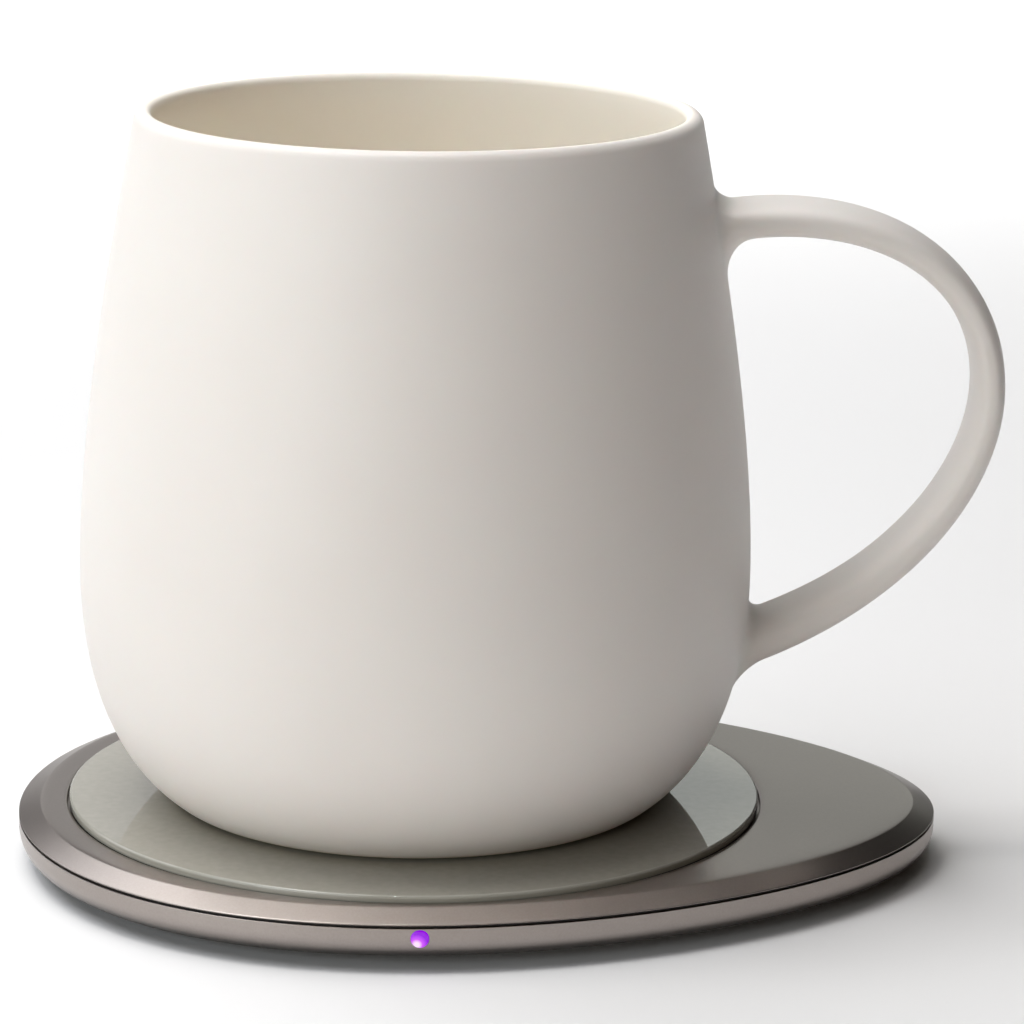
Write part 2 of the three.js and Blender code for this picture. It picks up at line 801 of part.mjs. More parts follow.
function shieldPlate() {
  return post(stackRadius, shieldLow, shieldLow + shieldThickness, [0, 0], discSegments);
}

// Carrier: a dish with a rim round the ferrite, a bore for the sensor and slots for the leads
function coilCarrier() {
  const rimInner = stackRadius - carrierRim;
  const rimTop = carrierTop + carrierRimHeight;
  const dish = solid(turned([
    [sensorBore, carrierLow],
    [stackRadius, carrierLow],
    [stackRadius, rimTop],
    [rimInner, rimTop],
    [rimInner, carrierTop],
    [sensorBore, carrierTop],
    [sensorBore, carrierLow],
  ], discSegments));
  const slots = block([2 * (stackRadius + cutOverrun), ferriteSlot], carrierTop, rimTop + cutOverrun, [0, 0]);
  return shapeOf(dish.subtract(solid(slots)));
}

// Ferrite with a slot for the coil's inner lead, and a groove underneath for the sensor's lead
function ferriteSheet() {
  const sheet = solid(washer(sensorBore, ferriteRadius, ferriteLow, ferriteTop));
  const size = [ferriteRadius + cutOverrun, ferriteSlot];
  const low = ferriteLow - cutOverrun;
  const slot = block(size, low, ferriteTop + cutOverrun, [size[0] / 2, 0]);
  const groove = block(size, low, ferriteTop - fitGap, [-size[0] / 2, 0]);
  return shapeOf(sheet.subtract(solid(slot)).subtract(solid(groove)));
}

function insulatingSheet() {
  return washer(filmHole, ferriteRadius, insulatorLow, insulatorTop);
}

// Curve that is walked point by point, so that each step of a tube ends on a point of its route
class RouteCurve extends THREE.CatmullRomCurve3 {
  getUtoTmapping(share) {
    return share;
  }
}

// Round tube through every point of a route
function tube(route, radius, sides) {
  const outline = new THREE.Shape();
  for (let side = 0; side < sides; side += 1) {
    const angle = fullTurn * side / sides;
    const corner = [radius * Math.cos(angle), radius * Math.sin(angle)];
    if (side === 0) {
      outline.moveTo(...corner);
    } else {
      outline.lineTo(...corner);
    }
  }
  return new THREE.ExtrudeGeometry(outline, {
    steps: route.length - 1, bevelEnabled: false, extrudePath: new RouteCurve(route),
  });
}

// Route of the winding: the inner lead in the ferrite's slot, a flat spiral, and the outer lead
function coilRoute() {
  const outerRadius = coilInnerRadius + coilPitch * coilTurns;
  const outside = stackRadius + leadBend;
  const route = [
    new THREE.Vector3(boardWindow + coilLanding, 0, padWireHeight),
    new THREE.Vector3(outside + leadBend, 0, padWireHeight),
    new THREE.Vector3(outside, 0, slotWireHeight),
    new THREE.Vector3(coilInnerRadius + leadBend, 0, slotWireHeight),
    new THREE.Vector3(coilInnerRadius, 0, (slotWireHeight + coilHeight) / 2),
  ];
  const steps = coilTurns * coilStepsPerTurn;
  for (let step = 1; step <= steps; step += 1) {
    const angle = fullTurn * step / coilStepsPerTurn;
    const radius = coilInnerRadius + coilPitch * step / coilStepsPerTurn;
    route.push(new THREE.Vector3(radius * Math.cos(angle), radius * Math.sin(angle), coilHeight));
  }
  route.push(
    new THREE.Vector3(outerRadius + leadBend, coilLeadSpread, coilHeight),
    new THREE.Vector3(stackRadius - carrierRim, coilLeadSpread, coilHeight),
    new THREE.Vector3(outside, coilLeadSpread, (coilHeight + padWireHeight) / 2),
    new THREE.Vector3(boardWindow + coilLanding, coilLeadSpread, padWireHeight),
  );
  return route;
}

// Least gap between two stretches of a route that lie more than half a turn apart
function leastGap(route, radius) {
  const apart = coilStepsPerTurn / 2;
  let least = Infinity;
  for (let here = 0; here < route.length; here += 1) {
    for (let there = here + apart; there < route.length; there += 1) {
      least = Math.min(least, route[here].distanceTo(route[there]) - 2 * radius);
    }
  }
  return least;
}

function transmitterCoil() {
  const route = coilRoute();
  console.log(`winding: least gap between turns ${leastGap(route, wireRadius).toFixed(2)} mm`);
  return tube(route, wireRadius, wireSides);
}

// Soft plug that stands in the carrier's bore and presses the sensor to the glass
function sensorHolder() {
  const top = insulatorTop - sensorHeight - seatGap;
  return turned([
    [0, carrierLow],
    [holderRadius, carrierLow],
    [holderRadius, ferriteTop],
    [holderRadius - holderTopInset, top],
    [0, top],
  ], holeSegments);
}

function temperatureSensor() {
  const low = insulatorTop - sensorHeight;
  const round = sensorHeight / cornersPerFace;
  return turned([
    [0, low], [sensorRadius - round, low], [sensorRadius, low + round], [sensorRadius, insulatorTop - round],
    [sensorRadius - round, insulatorTop], [0, insulatorTop],
  ], holeSegments);
}

// Lead of the sensor, in the ferrite's slot on the side away from the coil's leads
function sensorLead() {
  const outside = stackRadius + leadBend;
  const grooveHeight = ferriteLow + sensorLeadRadius;
  const padHeightHere = boardTop + seatGap + sensorLeadRadius;
  const route = [
    new THREE.Vector3(-holderRadius - seatGap, 0, grooveHeight),
    new THREE.Vector3(-outside, 0, grooveHeight),
    new THREE.Vector3(-outside - leadBend, 0, padHeightHere),
    new THREE.Vector3(-boardWindow - sensorLanding, 0, padHeightHere),
  ];
  return tube(route, sensorLeadRadius, wireSides);
}

// Light pipe: domed face flush with the shell, collar inside the wall, tail towards the emitter
function indicatorLens() {
  const front = -eggHalfBreadthAt(indicatorAcross);
  const collar = shellWall + fitGap;
  const tail = collar + lensCollarLength + lensTail;
  const lens = turned([
    [0, -lensDome],
    [lensRadius * 2 / cornersPerFace, -lensDome / 2],
    [lensRadius, 0],
    [lensRadius, collar],
    [lensRadius + lensCollar, collar],
    [lensRadius + lensCollar, collar + lensCollarLength],
    [lensRadius, collar + lensCollarLength],
    [lensRadius, tail],
    [0, tail],
  ], holeSegments);
  return lens.rotateX(-quarterTurn).translate(indicatorAcross, front, indicatorHeight);
}

// Small block with chamfered upper edges, standing on the board
function component([width, depth, height], [x, y]) {
  const low = boardTop + solderGap;
  const levels = [[0, low], [0, low + height - chipChamfer], [chipChamfer, low + height]];
  const rings = levels.map(([inset, level]) => {
    const [alongX, alongY] = [width / 2 - inset, depth / 2 - inset];
    return [[alongX, alongY], [-alongX, alongY], [-alongX, -alongY], [alongX, -alongY]].map(
      ([right, back]) => [x + right, y + back, level],
    );
  });
  return loft(rings, false);
}

function indicatorLed() {
  const lensEnd = -eggHalfBreadthAt(indicatorAcross) + shellWall + fitGap + lensCollarLength + lensTail;
  const { width, depth, height } = ledSize;
  return component([width, depth, height], [indicatorAcross, lensEnd + fitGap + depth / 2]);
}

// Power inlet: metal shell, open at the front, with a closed back
function usbSocket() {
  const outer = inletBar(socketWidth, socketHeight, socketFront, socketBack);
  const inner = inletBar(
    socketWidth - 2 * socketSkin, socketHeight - 2 * socketSkin,
    socketFront + cutOverrun, socketBack + socketSkin,
  );
  return shapeOf(solid(outer).subtract(solid(inner)));
}

function usbTongue() {
  const back = socketBack + socketSkin + seatGap;
  return block(
    [tongueWidth, tongueDepth], socketMiddle - tongueThickness / 2, socketMiddle + tongueThickness / 2,
    [widestAcross, back + tongueDepth / 2],
  );
}

// Place of a component beyond the board's window, towards the tip
function beyondWindow({ beyond, aside }) {
  return [boardWindow + beyond, aside];
}

// Shielded inductor with its round core showing on top
function powerInductor() {
  const [, , height] = inductor.size;
  const spot = beyondWindow(inductor);
  const low = boardTop + solderGap;
  const core = post(inductor.coreRadius, low + height / 2, low + height + inductor.coreProud, spot);
  return shapeOf(solid(component(inductor.size, spot)).add(solid(core)));
}

// Ceramic capacitor with metal end caps, the long way along X or along Y
function capacitor({ size: [width, depth, height], cap }, spot) {
  const alongX = width > depth;
  const bodySize = [width, depth, height].map((length) => length - chipChamfer);
  const body = solid(component(bodySize, spot));
  const side = alongX ? (width - cap) / 2 : (depth - cap) / 2;
  const capSize = alongX ? [cap, depth, height] : [width, cap, height];
  const ends = [-side, side].map((shift) => {
    const middle = alongX ? [spot[0] + shift, spot[1]] : [spot[0], spot[1] + shift];
    return solid(component(capSize, middle));
  });
  return shapeOf(body.add(ends[0]).add(ends[1]));
}

// Finishes
function finish(color, roughness, metalness) {
  return new THREE.MeshStandardMaterial({ color, roughness, metalness });
}

const ceramic = finish(0xe9e6e1, 0.62, 0);
const anodised = finish(0x86807a, 0.38, 0.9);
const shellMetal = finish(0x9c938f, 0.42, 0.9);
const glass = finish(0xb4b6a9, 0.06, 0);
const darkRubber = finish(0x2b2725, 0.8, 0);
const padRubber = finish(0x3a3735, 0.85, 0);
const lensPlastic = finish(0x9b10e0, 0.2, 0);
const ledBody = finish(0xe8e4d8, 0.5, 0);
const boardLaminate = finish(0x1f4a34, 0.55, 0);
const copper = finish(0xb4682f, 0.35, 0.9);
const ferrite = finish(0x33302f, 0.7, 0.1);
const clearFilm = finish(0xc9a24a, 0.4, 0);
const carrierPlastic = finish(0x24262a, 0.6, 0);
const aluminium = finish(0xbdbfc2, 0.35, 0.95);
const softSilicone = finish(0xd8d5cf, 0.7, 0);
const sensorGlass = finish(0x8a2f1c, 0.3, 0);
const leadSleeve = finish(0x20201f, 0.6, 0);
const chipResin = finish(0x1c1c1e, 0.5, 0);
const ceramicChip = finish(0xa98963, 0.5, 0);
const steel = finish(0xb9b9b7, 0.3, 0.95);
const contactPlastic = finish(0x17181a, 0.5, 0);
const silverFilm = finish(0xb8b4ac, 0.35, 0.9);
const foam = finish(0x3c3a36, 0.8, 0);

const group = new THREE.Group();
const mug = new THREE.Group();
mug.position.z = mugLift;
group.add(mug);

// Puts one named piece into the plate or the mug
function place(parent, name, source, material) {
  const mesh = new THREE.Mesh(welded(source), material);
  mesh.geometry.computeVertexNormals();
  mesh.name = name;
  parent.add(mesh);
}

place(mug, 'mug_body', mugBody(), ceramic);
place(mug, 'heating_film', heatingFilm(), silverFilm);
place(mug, 'base_cover', baseCover(), ceramic);

place(group, 'glass_disc', glassDisc(), glass);
place(group, 'glass_adhesive_ring', adhesiveRing(), foam);
place(group, 'top_cover', topCover(), anodised);
place(group, 'seam_gasket', seamGasket(), darkRubber);
place(group, 'lower_shell', lowerShell(), shellMetal);
place(group, 'foot_pad', footPad(), padRubber);
coverScrewPlaces.forEach((spot, index) => {
  place(group, `cover_screw_${index + 1}`, screw(coverScrew, spot, screwHeadLow, true), steel);
});

place(group, 'main_board', mainBoard(), boardLaminate);
boardScrewPlaces.forEach((spot, index) => {
  const headTop = boardTop + seatGap + boardScrew.headHeight;
  place(group, `board_screw_${index + 1}`, screw(boardScrew, spot, headTop, false), steel);
});
for (const [name, chip] of [['controller_chip', controllerChip], ['driver_chip', driverChip]]) {
  place(group, name, component(chip.size, beyondWindow(chip)), chipResin);
}
place(group, 'power_inductor', powerInductor(), ferrite);
for (const [name, kind, anchor] of [
  ['resonant_capacitor', resonantCapacitor, coverScrewPlaces[0]],
  ['input_capacitor', inputCapacitor, [widestAcross, socketBack]],
]) {
  for (let copy = 0; copy < kind.count; copy += 1) {
    const spot = anchor.map((start, axis) => start + kind.offset[axis] + kind.pitch[axis] * copy);
    place(group, `${name}_${copy + 1}`, capacitor(kind, spot), ceramicChip);
  }
}

place(group, 'shield_plate', shieldPlate(), aluminium);
place(group, 'coil_carrier', coilCarrier(), carrierPlastic);
place(group, 'ferrite_sheet', ferriteSheet(), ferrite);
place(group, 'transmitter_coil', transmitterCoil(), copper);
place(group, 'insulating_sheet', insulatingSheet(), clearFilm);
place(group, 'sensor_holder', sensorHolder(), softSilicone);
place(group, 'temperature_sensor', temperatureSensor(), sensorGlass);
place(group, 'sensor_lead', sensorLead(), leadSleeve);

place(group, 'indicator_lens', indicatorLens(), lensPlastic);
place(group, 'indicator_led', indicatorLed(), ledBody);
place(group, 'usb_socket', usbSocket(), steel);
place(group, 'usb_tongue', usbTongue(), contactPlastic);

export default group;
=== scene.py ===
# %% [markdown]
# A handled mug on its warming plate.
#
# The plate is an egg-shaped metal disc with a round glass top. The mug is matte ceramic and only
# stands on the glass. This lesson dresses a finished technical model: it keeps every size of that
# model and gives each part the surface and the finish that the real one has.

import math

import bpy
import numpy as np
from mathutils import Matrix, Vector


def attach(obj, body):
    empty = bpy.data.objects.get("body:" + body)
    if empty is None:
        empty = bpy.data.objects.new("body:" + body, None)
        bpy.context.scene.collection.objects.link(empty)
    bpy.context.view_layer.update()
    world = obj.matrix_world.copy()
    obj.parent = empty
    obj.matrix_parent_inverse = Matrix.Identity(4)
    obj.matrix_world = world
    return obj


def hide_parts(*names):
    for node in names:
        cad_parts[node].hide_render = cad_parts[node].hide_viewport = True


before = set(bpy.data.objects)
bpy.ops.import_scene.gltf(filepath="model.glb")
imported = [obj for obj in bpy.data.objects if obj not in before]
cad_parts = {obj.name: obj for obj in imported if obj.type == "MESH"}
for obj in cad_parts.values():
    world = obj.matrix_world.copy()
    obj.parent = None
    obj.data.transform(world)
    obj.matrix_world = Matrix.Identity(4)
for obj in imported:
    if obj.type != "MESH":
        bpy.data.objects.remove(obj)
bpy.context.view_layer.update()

# %% [markdown]
# The sizes come first. They are written in millimetres, because that is how a potter and a
# toolmaker think of them. Blender works in metres, so one factor turns them over at the end.
# The origin lies under the middle of the mug, where the plate stands on the table.

# %% Sizes of the plate, in millimetres
MM = 0.001
TURN = 2 * math.pi

GLASS_RADIUS = 46.5
GLASS_TOP = 8.6
GLASS_THICKNESS = 1.2
RECESS_RADIUS = 46.8
WINDOW_RADIUS = 43.5
LEDGE = (6.1, 6.9)

EGG_LENGTH = 123.7
EGG_MIDDLE = 8.6
EGG_SHARE = 0.168
HALF_BREADTH = 51.1

COVER_TOP = 7.8
COVER_LOW = 6.25
COVER_UNDER = 6.6
BEVEL_RUN = 3.1
SHELL_TOP = 5.88
SHELL_UNDER = 1.5
SHELL_ROUND = 3.0
FLOOR_TOP = 2.6
PLINTH_LOW = 0.9
PAD_HEIGHT = 1.35
PAD_INSET = 10.7
print("the plate is", EGG_LENGTH, "by", 2 * HALF_BREADTH, "mm and", GLASS_TOP, "mm high")

# %% [markdown]
# The plate's outline is an egg: an ellipse whose breadth shrinks towards the tip. Everything on
# the plate follows this one line at some distance inside it, so the line is a function of the
# angle and of that distance. Numpy works out all angles at once.

# %% The egg line
widest = math.acos((1 - math.sqrt(1 + 8 * EGG_SHARE**2)) / (4 * EGG_SHARE))
EGG_BREADTH = 2 * HALF_BREADTH / (math.sin(widest) * (1 - EGG_SHARE * math.cos(widest)))
BACK_X = EGG_MIDDLE + EGG_LENGTH / 2 * math.cos(widest)


def egg_line(angle, inset):
    """Points of the outline moved inwards. x is the middle plus half the length times the cosine;
    y is half the breadth times the sine times one minus the egg share times the cosine. The
    inset moves each point against the outline's normal, which is the slope turned by a right angle."""
    cosine, sine = np.cos(angle), np.sin(angle)
    x = EGG_MIDDLE + EGG_LENGTH / 2 * cosine
    y = EGG_BREADTH / 2 * sine * (1 - EGG_SHARE * cosine)
    slope_x = -EGG_LENGTH / 2 * sine
    slope_y = EGG_BREADTH / 2 * (cosine - EGG_SHARE * np.cos(2 * angle))
    length = np.hypot(slope_x, slope_y)
    return x - inset * slope_y / length, y + inset * slope_x / length


def half_breadth_at(x):
    """Half the outline's breadth at a place along the plate, from the same ellipse formula."""
    cosine = (x - EGG_MIDDLE) / (EGG_LENGTH / 2)
    return EGG_BREADTH / 2 * math.sqrt(1 - cosine**2) * (1 - EGG_SHARE * cosine)


print("the plate is widest at x =", round(BACK_X, 2), "mm")

# %% [markdown]
# Nearly every piece here is a stack of rings: a lathe shape is a stack of circles, and the plate
# is a stack of egg lines. So one helper turns a stack of rings into a skin. It can close the
# stack on itself, as for a hollow ring, or cap both ends. If the finished skin holds a negative
# volume, its faces point inwards, and the helper turns them round.

# %% Skin over a stack of rings
def volume_of(points, faces):
    """A sixth of the sum, over all triangles, of the product of the three corners."""
    a, b, c = (points[faces[:, k]] for k in range(3))
    return np.einsum("ij,ij->i", a, np.cross(b, c)).sum() / 6


def skin(rings, closed=False):
    """Points and triangles of a stack of rings, given as an array of rows by sides by three.
    Each square between two rings is cut into two triangles, and a cap is a fan round its middle."""
    rows, sides, _ = rings.shape
    points = rings.reshape(-1, 3)
    row, side = np.meshgrid(np.arange(rows if closed else rows - 1), np.arange(sides), indexing="ij")
    near, far = row * sides, (row + 1) % rows * sides
    after = (side + 1) % sides
    a, b, c, d = near + side, near + after, far + after, far + side
    halves = [np.stack(corners, -1).reshape(-1, 3) for corners in ((a, b, c), (a, c, d))]
    faces = np.concatenate(halves)
    if not closed:
        around = np.arange(sides)
        ahead = (around + 1) % sides
        first, last = len(points), len(points) + 1
        end = (rows - 1) * sides
        points = np.concatenate([points, rings[0].mean(0)[None], rings[-1].mean(0)[None]])
        start_fan = np.stack([np.full(sides, first), ahead, around], -1)
        end_fan = np.stack([np.full(sides, last), end + around, end + ahead], -1)
        faces = np.concatenate([faces, start_fan, end_fan])
    return points, (faces if volume_of(points, faces) > 0 else faces[:, ::-1])


def together(*shells):
    """Several closed skins as one: their points in a row, with each one's faces counted on."""
    starts = np.cumsum([0] + [len(points) for points, _ in shells[:-1]])
    return (
        np.concatenate([points for points, _ in shells]),
        np.concatenate([faces + start for start, (_, faces) in zip(starts, shells)]),
    )


# %% From a skin to a Blender object
def piece_from(name, shell, crease=32):
    """A mesh object from points in millimetres and triangles. Edges sharper than the crease angle,
    in degrees, stay sharp, and all others are shaded smoothly."""
    points, faces = shell
    mesh = bpy.data.meshes.new(name)
    mesh.from_pydata((points * MM).tolist(), [], faces.tolist())
    mesh.shade_smooth()
    mesh.set_sharp_from_angle(angle=math.radians(crease))
    made = bpy.data.objects.new(name, mesh)
    bpy.context.scene.collection.objects.link(made)
    print(name, "has", len(faces), "triangles")
    return made


def shaped(name, base, added=(), cut=(), crease=32):
    """A piece with other skins joined to it and cut from it. Blender's boolean does both, and the
    result replaces the mesh, so that no modifier is left."""
    made = piece_from(name, base, crease)
    for operation, shells in (("UNION", added), ("DIFFERENCE", cut)):
        if not shells:
            continue
        tool = piece_from(name + "_tool", together(*shells), crease)
        change = made.modifiers.new(operation.lower(), "BOOLEAN")
        change.operation, change.solver, change.object = operation, "MANIFOLD", tool
        graph = bpy.context.evaluated_depsgraph_get()
        mesh = bpy.data.meshes.new_from_object(made.evaluated_get(graph))
        made.modifiers.clear()
        made.data = mesh
        bpy.data.objects.remove(tool)
    made.data.shade_smooth()
    made.data.set_sharp_from_angle(angle=math.radians(crease))
    return made


# %% [markdown]
# A real edge is never quite sharp, and the thin bright line along it is what makes metal look like
# metal. So the outlines that are spun or carried round the egg get their corners rounded first.

# %% Profiles with round corners
def eased(corners, radii, steps=6):
    """A line of corners, each replaced by a short curve: a quadratic curve that starts the radius
    before the corner, is pulled by the corner, and ends the radius after it. One more point on
    each side, half a percent along the straight, keeps the curve's shading off the flat metal."""
    corners = np.asarray(corners, float)
    radii = np.asarray(radii, float)
    before, after = np.roll(corners, 1, 0) - corners, np.roll(corners, -1, 0) - corners
    reach = [np.linalg.norm(way, axis=1, keepdims=True) for way in (before, after)]
    pull = [np.minimum(radii[:, None], 0.49 * length) / np.maximum(length, 1e-9) for length in reach]
    start, end = corners + before * pull[0], corners + after * pull[1]
    u = np.linspace(0, 1, steps)[None, :, None]
    curve = (1 - u) ** 2 * start[:, None] + 2 * u * (1 - u) * corners[:, None] + u**2 * end[:, None]
    guard = 0.005 * (radii > 0)[:, None]
    guarded = [(start + before * guard)[:, None], curve, (end + after * guard)[:, None]]
    return np.concatenate(guarded, 1).reshape(-1, corners.shape[1])


def spun(profile, sides=192):
    """Rings of circles: each pair of radius and height becomes a circle about the Z axis."""
    angle = np.linspace(0, TURN, sides, endpoint=False)
    radius, height = np.asarray(profile, float).T[:, :, None]
    return np.stack([radius * np.cos(angle), radius * np.sin(angle), height + 0 * angle], -1)


def carried(profile, sides=240):
    """Rings of egg lines: each pair of inset and height becomes an egg line at that height."""
    angle = np.linspace(0, TURN, sides, endpoint=False)
    inset, height = np.asarray(profile, float).T[:, :, None]
    x, y = egg_line(angle[None], inset)
    return np.stack([x, y, height + 0 * x], -1)


def bar(radius, low, high, place=(0, 0), sides=48):
    """An upright round bar."""
    rings = spun([(radius, low), (radius, high)], sides)
    return skin(rings + np.array([place[0], place[1], 0]))


# %% [markdown]
# The top cover is one piece of metal: a bevelled egg with a round recess for the glass. Its
# outline is an egg outside and a circle inside. Each row of the skin is a blend of the two, with
# the circle's points lined up with the egg's as seen from the mug's axis, so the flat metal
# between them never folds.

# %% Rings that are egg outside and round inside
def egg_to_circle(rows, sides=240):
    """Rows of four numbers: how round the ring is, the egg's inset, the circle's radius and the
    height. A ring is the egg line for a roundness of 0, the circle for 1, and a mix between."""
    angle = np.linspace(0, TURN, sides, endpoint=False)
    roundness, inset, radius, height = np.asarray(rows, float).T[:, :, None]
    x, y = egg_line(angle[None], inset)
    seen_x, seen_y = egg_line(angle, BEVEL_RUN)
    facing = np.arctan2(seen_y, seen_x)[None]
    round_x, round_y = radius * np.cos(facing), radius * np.sin(facing)
    mixed = [egg * (1 - roundness) + ring * roundness for egg, ring in ((x, round_x), (y, round_y))]
    return np.stack([*mixed, height + 0 * x], -1)


RIM_HEIGHT = 0.15
STEP_RADIUS = 48.2
RIB_OUTSIDE, RIB_INSIDE, RIB_LOW = 2.15, 2.95, 5.0
cover_corners = [
    (1, BEVEL_RUN, WINDOW_RADIUS, LEDGE[0]),
    (1, BEVEL_RUN, STEP_RADIUS, LEDGE[0]),
    (1, BEVEL_RUN, STEP_RADIUS, COVER_UNDER),
    (0, RIB_INSIDE, STEP_RADIUS, COVER_UNDER),
    (0, RIB_INSIDE, STEP_RADIUS, RIB_LOW),
    (0, RIB_OUTSIDE, STEP_RADIUS, RIB_LOW),
    (0, RIB_OUTSIDE, STEP_RADIUS, COVER_LOW),
    (0, 0, STEP_RADIUS, COVER_LOW),
    (0, 0, STEP_RADIUS, COVER_LOW + RIM_HEIGHT),
    (0, BEVEL_RUN, RECESS_RADIUS, COVER_TOP),
    (1, BEVEL_RUN, RECESS_RADIUS, COVER_TOP),
    (1, BEVEL_RUN, RECESS_RADIUS, LEDGE[1]),
    (1, BEVEL_RUN, WINDOW_RADIUS, LEDGE[1]),
]
cover_easing = [0.02, 0.02, 0.02, 0.02, 0.1, 0.1, 0.05, 0.07, 0.12, 0.3, 0.16, 0.05, 0.1]
cover_rows = eased(cover_corners, cover_easing)
print("the cover's outline has", len(cover_rows), "rows")

# %% The screw places, shared by cover, shell and board
BOSS_ORBIT = 40.0
TIP_BOSS_X = 57.0
LUG_HALF = 3.2
LUG_REACH = 44.4
corner = BOSS_ORBIT * math.sqrt(0.5)
screw_places = [
    (corner, corner), (-corner, corner), (-corner, -corner), (corner, -corner), (TIP_BOSS_X, 0),
]
print("the cover has", len(screw_places), "screws")


def lug(place):
    """A tongue of the ledge that carries a screw boss: round at the boss, square where it meets the
    ledge, and turned to face the axis."""
    facing = math.atan2(place[1], place[0])
    half = np.linspace(math.pi / 2, 3 * math.pi / 2, 20)
    x = np.concatenate([BOSS_ORBIT + LUG_HALF * np.cos(half), [LUG_REACH, LUG_REACH]])
    y = np.concatenate([LUG_HALF * np.sin(half), [-LUG_HALF, LUG_HALF]])
    turned_x = x * math.cos(facing) - y * math.sin(facing)
    turned_y = x * math.sin(facing) + y * math.cos(facing)
    flat = np.stack([turned_x, turned_y, 0 * x], -1)
    return skin(np.stack([flat + [0, 0, LEDGE[0] + 0.01], flat + [0, 0, LEDGE[1] - 0.01]]))


def block(low, high):
    """A box between two corners."""
    (x0, y0, z0), (x1, y1, z1) = low, high
    base = np.array([(x0, y0), (x1, y0), (x1, y1), (x0, y1)], float)
    return skin(np.stack([np.column_stack([base, np.full(4, z)]) for z in (z0, z1)]))


# %% The top cover
LENS_X = 0.9
BOSS_RADIUS, BOSS_LOW = 2.5, 3.4
SCREW_RADIUS = 1.05
INLET_NOTCH, LENS_NOTCH = 5.47, 2.35
boss_tops = [LEDGE[1]] * 4 + [COVER_UNDER + 0.1]
bosses = [bar(BOSS_RADIUS, BOSS_LOW, top, p) for top, p in zip(boss_tops, screw_places)]
pilots = [bar(SCREW_RADIUS, 2.6, 6.75, p, 24) for p in screw_places]
rib_notches = [
    block((BACK_X - INLET_NOTCH, 44, 3), (BACK_X + INLET_NOTCH, 50, COVER_LOW)),
    block((LENS_X - LENS_NOTCH, -50.2, 3), (LENS_X + LENS_NOTCH, -46, COVER_LOW)),
]
cover = shaped(
    "cover",
    skin(egg_to_circle(cover_rows), closed=True),
    added=[*bosses, *[lug(p) for p in screw_places[:4]]],
    cut=[*pilots, *rib_notches],
)

# %% [markdown]
# The lower shell is a tray. Its outside is a flat underside, a round edge and a short upright
# wall; inside it has a floor, bosses for the cover's screws and posts for the board. The foot pad
# sits in a shallow frame underneath. The shell has two openings: a round one in front for the
# indicator, and a slot with round ends at the back for the power plug.

# %% The lower shell's outline
SHELL_MIDDLE = 30
PAD_BED = 1.4
PLINTH_INSET = 9.2
SHELL_WALL = 1.8
under_corners = [
    (SHELL_MIDDLE, PAD_BED), (PAD_INSET, PAD_BED), (PAD_INSET, PLINTH_LOW),
    (PLINTH_INSET, PLINTH_LOW), (PLINTH_INSET, SHELL_UNDER), (6, SHELL_UNDER),
]
wall_corners = [
    (0, 5.0), (0, SHELL_TOP), (SHELL_WALL, SHELL_TOP),
    (SHELL_WALL, 3.2), (2.4, FLOOR_TOP), (SHELL_MIDDLE, FLOOR_TOP),
]
arc = np.linspace(0, math.pi / 2, 14)
edge_inset, edge_rise = SHELL_ROUND * (1 - np.sin(arc)), SHELL_ROUND * (1 - np.cos(arc))
shell_profile = np.concatenate([
    eased(under_corners, [0, 0.05, 0.1, 0.15, 0.1, 0]),
    np.column_stack([edge_inset, SHELL_UNDER + edge_rise]),
    eased(wall_corners, [0, 0.08, 0.1, 0.2, 0.2, 0]),
])
print("the shell's outline has", len(shell_profile), "rows")

# %% The power inlet's outline
INLET_SIZE = (8.94, 2.9)
SLOT_SIZE = (9.24, 3.2)
INLET_HEIGHT = FLOOR_TOP - 0.075 + 1.45
INLET_FRONT = 50.05
INLET_BACK = INLET_FRONT - 7.0


def inlet_rings(width, height, depths, ease=0.0, sides=28):
    """Rings of a flat outline with round ends, standing in the XZ plane: two half circles whose
    diameter is the height, set apart by the width less the height, one ring for each depth."""
    half = np.linspace(-math.pi / 2, math.pi / 2, sides)
    reach, radius = (width - height) / 2, height / 2 - ease
    x = BACK_X + np.concatenate([reach + radius * np.cos(half), -reach - radius * np.cos(half)])
    z = INLET_HEIGHT + np.concatenate([radius * np.sin(half), -radius * np.sin(half)])
    return np.stack([np.column_stack([x, np.full(len(x), y), z]) for y in depths])


# %% The lower shell
LENS_HEIGHT = 4.55
LENS_RADIUS, LENS_HOLE = 1.12, 1.2
LENS_FRONT = -half_breadth_at(LENS_X)
board_places = [(47.0, 17.0), (47.0, -17.0), (-40.0, 0.0)]


def bar_along_y(radii, depths, place, sides=48):
    """A round bar that lies along Y: one circle for each pair of radius and depth."""
    angle = np.linspace(0, TURN, sides, endpoint=False)
    radius, depth = np.asarray(radii, float)[:, None], np.asarray(depths, float)[:, None]
    x, z = place
    return np.stack([x + radius * np.cos(angle), depth + 0 * angle, z + radius * np.sin(angle)], -1)


